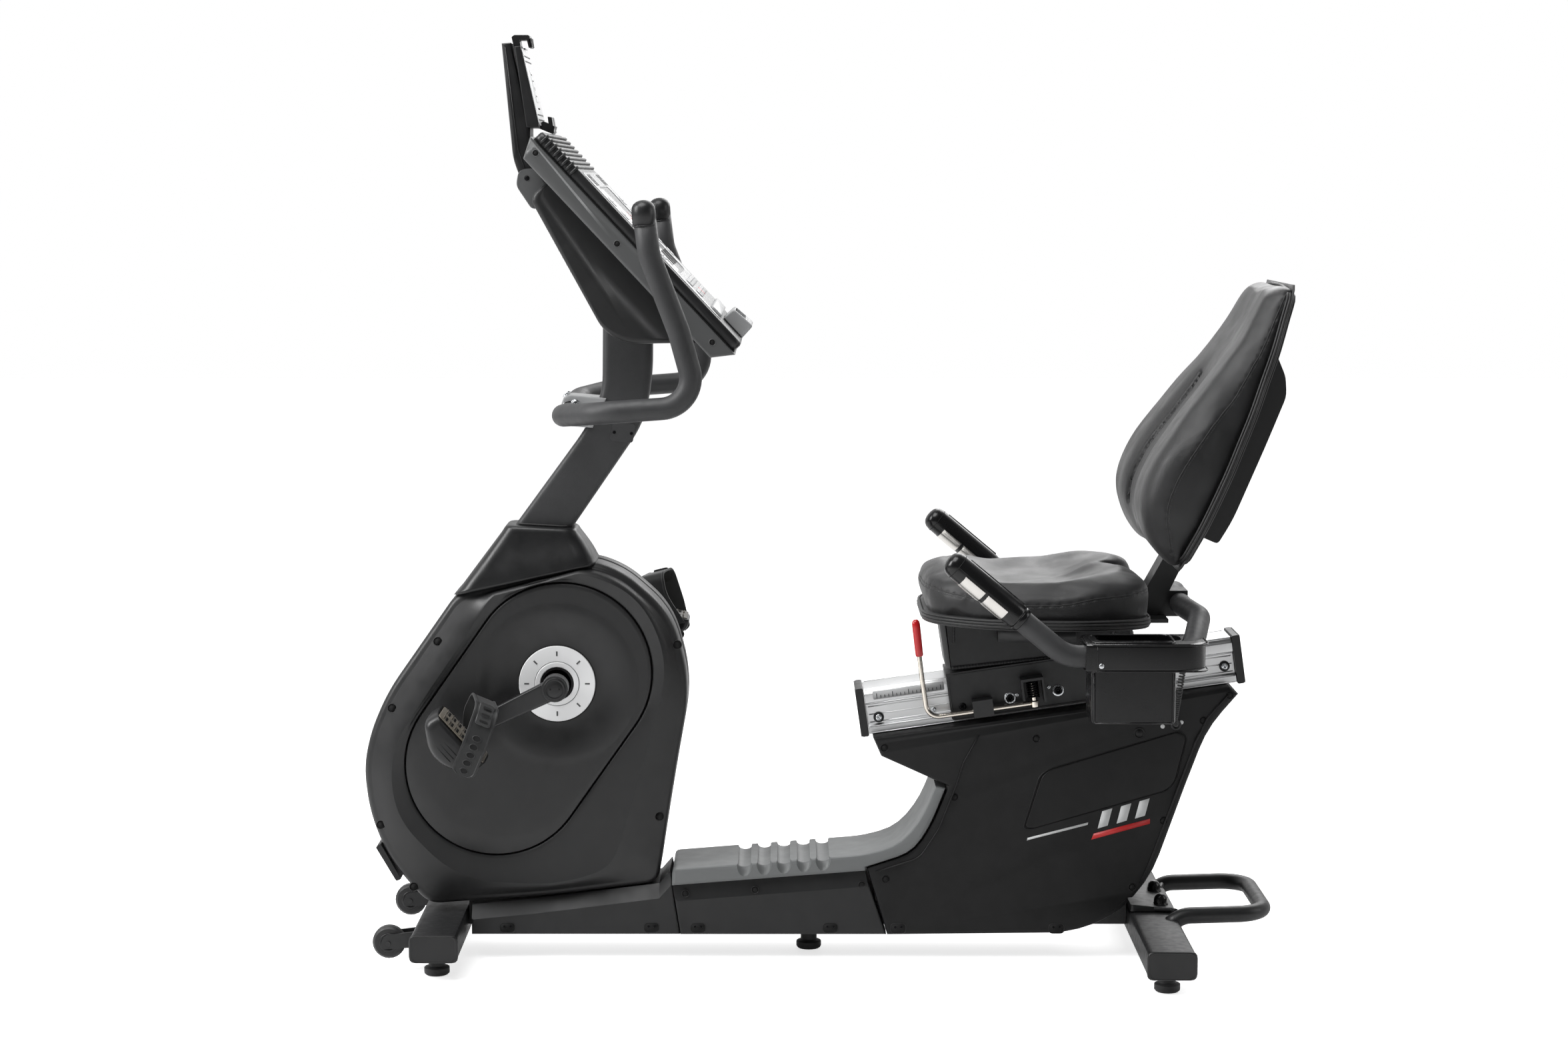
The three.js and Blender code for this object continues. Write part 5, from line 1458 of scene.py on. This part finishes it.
def pedal(side):
    """A pedal with its axle, tread and strap, in the frame of the pedal's own pitch."""
    ax, az = PEDAL_AT[side]
    c, s = math.cos(PITCH[side]), math.sin(PITCH[side])

    def at(x, y, z):
        return P(ax + x * c - z * s, side * y, az + x * s + z * c)

    shape = rounded([(-54, 14, 4), (54, 14, 4), (54, 0, 11), (27, -36, 26), (-16, -42, 32),
                     (-60, -12, 17)], 7)
    mid = (-1, -11)

    def section(y, k):
        row = []
        for x, z in shape:
            d = math.hypot(x - mid[0], z - mid[1])
            f = 1 - k / d
            row.append(at(mid[0] + (x - mid[0]) * f, y, min(mid[1] + (z - mid[1]) * f, 13.4)))
        return row
    b = Build().rings([section(y, k) for y, k in ((123.5, 9), (123.1, 6), (123.8, 3.2), (125.6, 1.2),
                                                  (129, 0.2), (150, 0), (178, 0.2), (190, 1.2), (197, 3.2),
                                                  (201.5, 6.4), (204.2, 10), (205.6, 15), (206.2, 21))])
    for z in (-8, -15, -22):
        b.rod([at(x, 206.1, z) for x in (-15, 0, 15)], 0.7, 8, 1)
    obj = b.done("pedal_body_" + tag(side), ["satin_black_plastic", "dark", "machined_steel"],
                 "pedal_" + tag(side), "rubber_black")
    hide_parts("pedal_" + tag(side))
    pipe("pedal_axle_" + tag(side), [at(0, y, 0) for y in (82, 100, 116, 124.5)], 7, "machined_steel",
         "pedal_" + tag(side), "machined_steel", 20)
    tread = Build()
    pad = rect(-50, 50, 127, 203, 6, 4)
    tread.rings([[at(x + (1 if x < 0 else -1) * k, y + (1 if y < 165 else -1) * k, z) for x, y in pad]
                 for z, k in ((13.2, 0), (14.4, 0), (15.2, 0.9))])
    for x in range(-42, 43, 12):
        for y0, y1 in ((132, 158), (172, 198)):
            ends = [at(x, y0, 15.0), at(x, y1, 15.0)]
            tread.rings(follow(ends, [(a * 2.6, bb * 0.9) for a, bb in circle(1, 12)]), 0)
            # the slots between the ribs are near-black strips: painted shade
            slot = rect(x + 4, x + 8, y0 + 1, y1 - 1, 1.6, 3)
            if x < 42:
                tread.rings([[at(px, py, z) for px, py in slot] for z in (15.0, 15.25)], 1)
    tread.done("pedal_tread_" + tag(side), ["brown", "dark"], "pedal_" + tag(side), "rubber_black")

    # strap: a leaning loop with raised rims, slots and a buckle pad
    path = resample(bent([(207.6, 0, -22), (207.6, 0, 22), (194, 0, 74.3), (134.5, 0, 70.3),
                          (122.4, 0, 22), (122.4, 0, -2)], 16, 3), 0.003)
    line = [(p.x * 1000 - SHIFT, p.z * 1000) for p in path]

    STRAP_END = {0: 0.5, 1: 0.82, 2: 0.97}

    def on_strap(i, w, t):
        i = max(0.0, min(len(line) - 1.001, i))
        j = int(i)
        a0, u0 = line[max(0, j - 1)]
        a1, u1 = line[min(len(line) - 1, j + 2)]
        d = math.hypot(a1 - a0, u1 - u0)
        na, nu = (u1 - u0) / d, -(a1 - a0) / d
        if na < 0 and j < 4:
            na, nu = -na, -nu
        a, u = lerp(line[j][0], line[j + 1][0], i - j) + na * t, lerp(line[j][1], line[j + 1][1],
                                                                      i - j) + nu * t
        w = (w - 14) * 1.36 * (STRAP_END.get(j, 1.0) if i < 3 else 1.0)
        return at(32 - 0.48 * u + w * 0.9015 - (207 - a) * 0.27 * ease((u + 10) / 60), a, u + w * 0.4328)
    prof = [(0.3, 0), (0, 0.4), (0, 2.6), (0.5, 3.0), (2.2, 3.0), (3.2, 2.1), (24.8, 2.1), (25.8, 3.0),
            (27.5, 3.0), (28, 2.6), (28, 0.4), (27.7, 0)]
    b = Build().rings([[on_strap(i, w, t) for w, t in prof] for i in range(len(line))])
    step = 1 / 3.0
    for k in range(5):
        mid_i = (7 + 12 * k) * step
        spot = [(mid_i + 3.6 * step * math.sin(q), 14 + 4.4 * math.cos(q)) for q in turns(16)]
        # each slot is a near-black oval inside its raised rim: painted shade in the opening
        b.rings([[on_strap(i, w, t) for i, w in spot] for t in (2.0, 2.25)], 1)
        b.rings([[on_strap(mid_i + (i - mid_i) * g, 14 + (w - 14) * g, t) for i, w in spot]
                 for g, t in ((1.0, 2.0), (1.03, 2.9), (1.22, 2.9), (1.3, 2.0))], 0, caps=False)
    buckle = rect(74, 104, 5, 23, 4, 4)
    b.rings([[on_strap(lerp(89, p, g) * step, 14 + (w - 14) * g, t) for p, w in buckle]
             for g, t in ((1, 2.0), (1, 4.4), (0.96, 5.1), (0.9, 5.4))])
    for lo in (79, 87, 95):
        bar = rect(lo, lo + 2.4, 9, 19, 1, 2)
        b.rings([[on_strap(p * step, w, t) for p, w in bar] for t in (5.3, 5.7)], 1)
    obj = b.done("pedal_strap_" + tag(side), ["strap", "dark"], "pedal_" + tag(side), "rubber_black",
                 bevel=0.0004)
    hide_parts("strap_" + tag(side))


pedal(LEFT)
pedal(RIGHT)


def half_width(node):
    """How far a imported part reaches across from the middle, in mm."""
    return max(abs((NODES[node].matrix_world @ v.co).y) for v in NODES[node].data.vertices) * 1000


CRANK_OUT = half_width("crank")
caps = Build()
for side in (LEFT, RIGHT):
    hub = P(AXLE[0], side * CRANK_OUT, AXLE[1])
    caps.lathe(hub, side_out(side), [(17.5, -1), (17.5, 0.5), (16.8, 1.3), (14, 1.7), (13.4, 1.0, 1),
                                     (12.8, 1.5), (6, 2.2), (0.01, 2.3)], 0, 36)
    # two pin holes drawn as near-black discs: painted shade
    for dx in (-7, 7):
        caps.lathe(P(AXLE[0] + dx, side * (CRANK_OUT + 1.9), AXLE[1]), side_out(side),
                   [(1.6, 0), (1.6, 0.5), (0.01, 0.5)], 1, 14)
    ax, az = PEDAL_AT[side]
    caps.lathe(P(ax, side * (CRANK_OUT - 3.5), az), side_out(side),
               [(10, -2), (10, 0.2), (9, 0.8), (7.6, 0.9), (7.2, 0.2), (7.2, -2)], 0, 28)
caps.done("crank_caps", ["satin_black_plastic", "dark"], "crank", "crank_black")

# ---------------------------------------------------------------- rail and carriage details
detail = Build()
for side in (LEFT, RIGHT):
    detail.rings([[on_rail(s, n, side * (42.2 + d)) for s, n in rect(14, 128, 54, 68, 2, 3)]
                  for d in (0, 0.35)], 0)
    for k in range(17):
        s = 20 + 6.4 * k
        tall = 8 if k % 4 == 0 else 4.5
        detail.rings([[on_rail(s + a * 0.45, 55.5 + u, side * (42.3 + d))
                       for a, u in ((-1, 0), (1, 0), (1, tall), (-1, tall))]
                      for d in (0, 0.45)], 1)
    for n in (17.5, 30, 42.5):
        detail.rod([on_rail(s, n, side * 35.1) for s in (4, 150, 300, 450, 586)], 0.9, 8, 2)
    for n in (1.2, 12, 48.5, 71):
        detail.rod([on_rail(s, n, side * 41.9) for s in (3, 200, 400, 587)], 0.6, 6, 2)
detail.done("rail_scale_and_ribs", ["face_grey", "dark", "rail_aluminium"], "frame", "rail_aluminium")
ends = [(on_rail(s, n, side * 35), side_out(side)) for side in (LEFT, RIGHT)
        for s, n in ((18.5, 24), (574, 27))]
spacers = Build()
for p, out in ends:
    spacers.lathe(p, out, [(8.4, -0.5), (8.4, 2.6), (7.6, 3.4), (0.01, 3.4)], 0, 28)
spacers.done("rail_spacers", "satin_black_plastic", "frame", "satin_black_plastic")
screws("rail_screws", [(p + out * 0.0033, out) for p, out in ends], "zinc", "frame", "machined_steel", 5.4,
       "cross")
screws("rail_stop_screw", [(on_rail(107, 23.5, side * 35), side_out(side)) for side in (LEFT, RIGHT)],
       "zinc", "frame", "machined_steel", 4.0, "cross")
lips = Build()
for s, t in ((-12.2, -1), (602.2, 1)):
    frame_line = rect(-43, 43, -2, 74, 4, 4)
    path = [on_rail(s, n, y) for y, n in frame_line]
    lips.hoop(path, 1.1, 8)
    lips.lathe(on_rail(s, 36, 0), RAIL_DIR * t, [(6, 0), (5.4, 0.6), (3, 0.9), (0.01, 0.9)], 0, 20)
lips.done("rail_cap_lips", "satin_black_plastic", "frame", "satin_black_plastic")

bolts = [(on_rail(s, n, side * 50), side_out(side)) for side in (LEFT, RIGHT)
         for s, n in ((229, 27.6), (306, 28.5))]
screws("carriage_bolts", bolts, "blackscrew", "seat", "machined_steel", 6.2, "socket", 9.4, 4.0)
screws("carriage_phillips", [(on_rail(152.8, 24.5, side * 50), side_out(side)) for side in (LEFT, RIGHT)],
       "blackscrew", "seat", "satin_black_plastic", 6.0, "cross")
screws("carriage_small", [(on_rail(s, n, LEFT * 50), side_out(LEFT))
                          for s, n in ((241, 30.5), (292, 36), (350, 62))], "zinc",
       "seat", "machined_steel", 3.2, "cross")


def weld_bead(b, start, stop, sides, thin, swell):
    """A rippled bead of weld metal from one point to another."""
    path, rings = resample([start, stop], 0.0014), []
    for i, ring in enumerate(follow(path, circle(1, sides))):
        r = thin + swell * abs(math.sin(i * 0.9))
        rings.append([path[i] + (v - path[i]) * r for v in ring])
    b.rings(rings)


work = Build()
plate_line = rounded([(136, 7, 5), (369, 7, 5), (369, 77, 5), (136, 77, 8)], 5)
for side in (LEFT, RIGHT):
    path = [on_rail(s, n, side * 50) for s, n in plate_line]
    work.hoop(path, 0.9, 6)
    # weld bead along the foot of the riser
    weld_bead(work, P(197, side * 42, 464), P(452, side * 42, 492), 10, 2.9, 0.9)
    for x in (199, 452):
        weld_bead(work, P(x, side * 42, 505), P(x, side * 42, 540), 8, 1.7, 0.6)
cover_hatch = rect(268, 392, 509, 529, 3, 3)
for side in (LEFT, RIGHT):
    work.rings([flat(cover_hatch, side * y) for y in (42.5, 62, 63)])
work.done("carriage_welds", "frame_steel", "seat", "frame_steel")
coil = []
for i in range(0, 7 * 16 + 1):
    a = TAU * i / 16
    mid = on_rail(266, 25 + 26 * i / (7 * 16), -64)
    coil.append(mid + RAIL_DIR * (0.0085 * math.cos(a)) + Vector((0, 0.0085 * math.sin(a), 0)))
cord_line("plunger_spring", coil, 1.1, "blackscrew", "seat", "machined_steel", 8)

# ---------------------------------------------------------------- cup holders
for side in (LEFT, RIGHT):
    b = Build()
    ring_line = rounded([(381, 222, 20), (566, 222, 20), (566, 326, 28), (381, 326, 28)], 7)
    for z, r in ((505.2, 1.2), (545, 1.4)):
        path = [P(x, side * y, z) for x, y in ring_line]
        b.hoop(path, r, 8)
    lip_line = rounded([(392, 232, 14), (516, 232, 14), (516, 315, 16), (392, 315, 16)], 6)
    path = [P(x, side * y, 546.2) for x, y in lip_line]
    b.hoop(path, 2.0, 10)
    for x in (394, 514):
        b.rod([P(x, side * 318.1, z) for z in (427, 450, 480, 502)], 0.9, 8, 0)
    path = [P(x, side * 318, 425.6) for x in (396, 454, 512)]
    b.rod(path, 1.2, 8, 0)
    b.lathe(P(455, side * 272, 424.2), (0, 0, -1), [(26, -0.2), (26, 0.8), (24, 1.2), (6, 1.2), (5, 0.4),
                                                    (0.01, 0.4)], 0, 30)
    b.done("cup_holder_edges_" + tag(side), "gloss", "seat", "satin_black_plastic")
    screws("cup_holder_bolt_" + tag(side), [(P(404, side * 326, 513.5), side_out(side))], "zinc", "seat",
           "machined_steel", 4.2, "dome")
    cord_line("cup_sleeve_" + tag(side), [P(398.2, side * 326.2, z) for z in (507, 520, 535, 543)], 0.8,
              "gloss", "seat", "satin_black_plastic")

# ---------------------------------------------------------------- rear shroud and base
REAR_SCREWS = ((89, 342), (329, 357), (200, 263), (92, 130), (532, 225), (484, 117), (593, 386), (634, 427))
HATCH = rounded([(311, 213, 8), (337, 297, 10), (352, 308, 8), (555, 369, 8), (567, 360, 8),
                 (550, 287, 10), (535, 273, 8), (324, 212, 8)], 6)
HATCH_MID = (sum(p[0] for p in HATCH) / len(HATCH), sum(p[1] for p in HATCH) / len(HATCH))
STRIPE = ((417.6, 194), (510.6, 220), (510.6, 228), (421.6, 204))
FINE_LINE = ((315.6, 193), (411.6, 218), (412.6, 222), (316.6, 197))
BARS = [((x, z), (x + 16, z + 5), (x + 23, z + 33), (x + 7, z + 28))
        for x, z in ((427.6, 212), (457.6, 220), (486.6, 228))]


def grown(k):
    """The hatch outline, moved out from its middle by k mm."""
    out = []
    for x, z in HATCH:
        dx, dz = x - HATCH_MID[0], z - HATCH_MID[1]
        far = math.hypot(dx, dz)
        out.append((x + dx / far * k, z + dz / far * k))
    return out


for side in (LEFT, RIGHT):
    places = [(P(x, side * 75, z), side_out(side)) for x, z in REAR_SCREWS]
    wells("rear_wells_" + tag(side), places, "rear_plastic", "frame", "panel_plastic", 5.8, 4.5, 0.4)
    drill(NODES["rear_shroud_" + tag(side)], places, 6.4, 5, "cut_rear_" + tag(side))
    b = Build()
    b.rings([flat(grown(k), side * y) for y, k in ((74.6, -1.6), (75.8, -1.6), (76.4, -2.8), (76.5, -5))],
            0)
    # a thin near-black band round the hatch: painted shade standing in for its groove
    b.rings([flat(grown(k), side * y) for y, k in ((75.02, 1.0), (75.06, 1.0), (75.06, -1.5),
                                                   (75.02, -1.5))], 1,
            caps=False)
    b.rings([flat(grown(k), side * y) for y, k in ((74.8, 3.4), (75.7, 2.6), (75.7, 1.6), (74.8, 1.0))], 0,
            caps=False)
    b.lathe(P(492, side * 75, 366), side_out(side), [(9, -0.5), (9, 0.9), (8.2, 1.3), (7.2, 1.0),
                                                     (6.8, 0.2), (5.6, 0.2), (5, 1.2), (0.01, 1.3)], 0, 32)
    for line in (((238, 362), (214, 318), (203, 282), (176, 212), (146, 165), (76, 142)),
                 ((630, 426), (600, 392), (580, 350), (543, 246), (512, 160),
                                                                                     (496, 122))):
        path = bent([(x, side * 75.0, z) for x, z in line], 40, 4)
        b.rings(follow(path, [(a * 3.4, c * 1.5) for a, c in circle(1, 10)]), 0)
    prints = [(STRIPE, 2)] + [(bar, 3) for bar in BARS + [FINE_LINE]]
    for quad, mat in prints:
        b.rings([flat(quad, side * y) for y in (75.02, 75.3)], mat)
    b.done("rear_panel_" + tag(side), ["rear_plastic", "dark", "print_red", "print_white"], "frame",
           "panel_plastic")
    screws("hatch_screws_" + tag(side), [(P(x, side * 75, z), side_out(side))
                                         for x, z in ((528.6, 376.5), (558, 382.9))],
           "print_white", "frame", "machined_steel", 3.4, "dome")
    base = [(P(x, side * 72, z), side_out(side)) for x, z in ((-227, 106), (-116, 112), (54, 120),
                                                              (92, 129))]
    wells("base_wells_" + tag(side), base, "panel_plastic", "frame", "panel_plastic", 5.4, 3.5, 0.4)

# step band: five toe grooves across the top that widen into scoops at the outer edges
TRIM_OUT = half_width("trim_strip")
scoops = Build()
for x in (-133, -101.5, -70, -38.5, -8):
    top = 150 + (x + 138) * 0.075
    rows = []
    for y in [k * 1.6 - 83.2 for k in range(105)]:
        g = ease(max(0.0, min(1.0, (abs(y) - TRIM_OUT + 13) / 13)))
        rows.append([P(x + (10.5 + 1.5 * g) * math.cos(q), y, top + 3 + (5.2 + 14 * g) * math.sin(q))
                     for q in turns(28)])
    scoops.rings(rows)
carve("trim_strip", scoops, "cut_step_scoops")

# wheel hubs
WHEEL_AXLE = (-690, 46)
hubs = Build()
for side, name in ((LEFT, "wheel_left"), (RIGHT, "wheel_right")):
    pts = [NODES[name].matrix_world @ v.co for v in NODES[name].data.vertices]
    lo, hi = min(v.y for v in pts), max(v.y for v in pts)
    for y, way in ((lo, -1), (hi, 1)):
        hub = P(WHEEL_AXLE[0], y * 1000, WHEEL_AXLE[1])
        hubs.lathe(hub, (0, way, 0), [(15, -1.5), (15, 0.3), (14, 0.9), (11, 0.9), (10, 0.1), (7, 0.1),
                                      (6.4, 1.6), (5.6, 2.4), (3.0, 2.4), (2.6, 1.2, 1), (0.01, 1.1)], 0,
                                      30)
hubs.done("wheel_hubs", "satin_black_plastic", "frame", "tyre_black")


# ---------------------------------------------------------------- sensor cord
def helix(corners, radius, rounds, points):
    """A coil wound round a bent path, pulled in to the path at both ends."""
    path = bent(corners, 26, 1.5)
    lengths = [0.0]
    for a, c in zip(path, path[1:]):
        lengths.append(lengths[-1] + (c - a).length)
    total, out = lengths[-1], []
    normal = Vector((0.2, -0.3, 1)).normalized()
    for i in range(points + 1):
        want = total * i / points
        j = max(k for k in range(len(lengths) - 1) if lengths[k] <= want)
        t = (want - lengths[j]) / (lengths[j + 1] - lengths[j])
        d = (path[j + 1] - path[j]).normalized()
        if 0 < j < len(path) - 2:
            before, after = (path[j] - path[j - 1]).normalized(), (path[j + 2] - path[j + 1]).normalized()
            d = ((before + d).normalized() * (1 - t) + (d + after).normalized() * t).normalized()
        normal = (normal - d * normal.dot(d)).normalized()
        side_dir = d.cross(normal)
        a = TAU * rounds * i / points
        wide = radius * (0.25 + 0.75 * min(1.0, i / 20, (points - i) / 20))
        out.append(path[j].lerp(path[j + 1], t) + (normal * math.cos(a) + side_dir * math.sin(a)) * wide)
    return out


coil = helix([(552, -150, 499), (545, -140, 440), (544, -100, 392), (549, -82, 379)], 0.0037, 29, 29 * 14)
cord = cord_line("sensor_cord", coil, 1.5, "rubber_black", None, "rubber_black", 8)
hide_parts("seat_cord")
long = sum((a - c).length for a, c in zip(coil, coil[1:]))
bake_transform(cord)
collar = Build()
collar.lathe(P(549.5, -75, 379), side_out(LEFT), [(9, -0.5), (9, 1.2), (7.4, 2.4), (5.6, 2.8), (5.2, 2.0),
                                                  (5.2, 0.2)], 0, 28)
collar.done("cord_grommet", "satin_black_plastic", "frame", "rubber_black")


def chamfer(node, tops, half, inward, down, name):
    """Cuts a sloping face along both upper long edges of a cover."""
    b = Build()
    for side in (LEFT, RIGHT):
        b.rings([[P(x, side * (half + 1.5), z - down - 1.5 * down / inward),
                  P(x, side * (half - inward), z), P(x, side * (half - inward), z + 9),
                  P(x, side * (half + 1.5), z + 9)] for x, z in tops])
    carve(node, b, name)


# chamfered upper edges of the base covers, and deep bolt pockets along their foot
chamfer("base_cover", ((-575, 83.3), (-463, 94.2), (-269, 118.5), (-250, 140)), 70, 17, 21,
        "cut_base_chamfer")
chamfer("step_cover", ((-252, 117.7), (62, 142.3)), 72, 5.6, 25, "cut_step_chamfer")
for side in (LEFT, RIGHT):
    b = Build()
    for x, half in ((-511, 70), (-281, 70), (-207, 72), (4, 72), (112, 75), (364, 75)):
        c = P(x, side * half, 50)
        shape = rect(-12, 12, -8, 8, 7, 6)
        b.rings([[c + Vector((a * 0.001 * k, side * y * 0.001, d * 0.001 * k)) for a, d in shape]
                 for y, k in ((-0.5, 1.06), (0.35, 1.06), (0.6, 1.02), (0.5, 0.98), (0.1, 0.96))], 0,
                 caps=False)
        # a near-black plate at the back of each pocket: painted shade in its depth
        b.rings([[c + Vector((a * 0.00098, side * y * 0.001, d * 0.00098)) for a, d in shape]
                 for y in (0.05, 0.3)], 1)
        for dx in (-5, 5):
            b.lathe(P(x + dx, side * (half + 0.3), 52), side_out(side),
                    [(2.2, 0), (2.0, 0.35), (0.01, 0.4)], 2, 16)
    b.done("base_pockets_" + tag(side), ["panel_plastic", "dark", "blackscrew"], "frame", "panel_plastic")

# stabiliser end caps: a sunk oval panel with a raised rim
for bar, z, half, name in ((-613, 51, 205, "front"), (517, 54, 317, "rear")):
    b = Build()
    for side in (LEFT, RIGHT):
        y = half + 7.3
        shape = rect(-38, 38, -22, 22, 11, 6)
        b.rings([[P(bar + a * k, side * (y + d), z + c * k) for a, c in shape]
                 for k, d in ((0.99, -3), (0.985, -0.6), (0.96, 0.2), (0.92, 0.4), (0.88, 0.1),
                              (0.86, -0.3), (0.80, -0.3))], 0)
    b.done(name + "_cap_panels", "satin_black_plastic", "frame", "satin_black_plastic")

lo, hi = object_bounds()
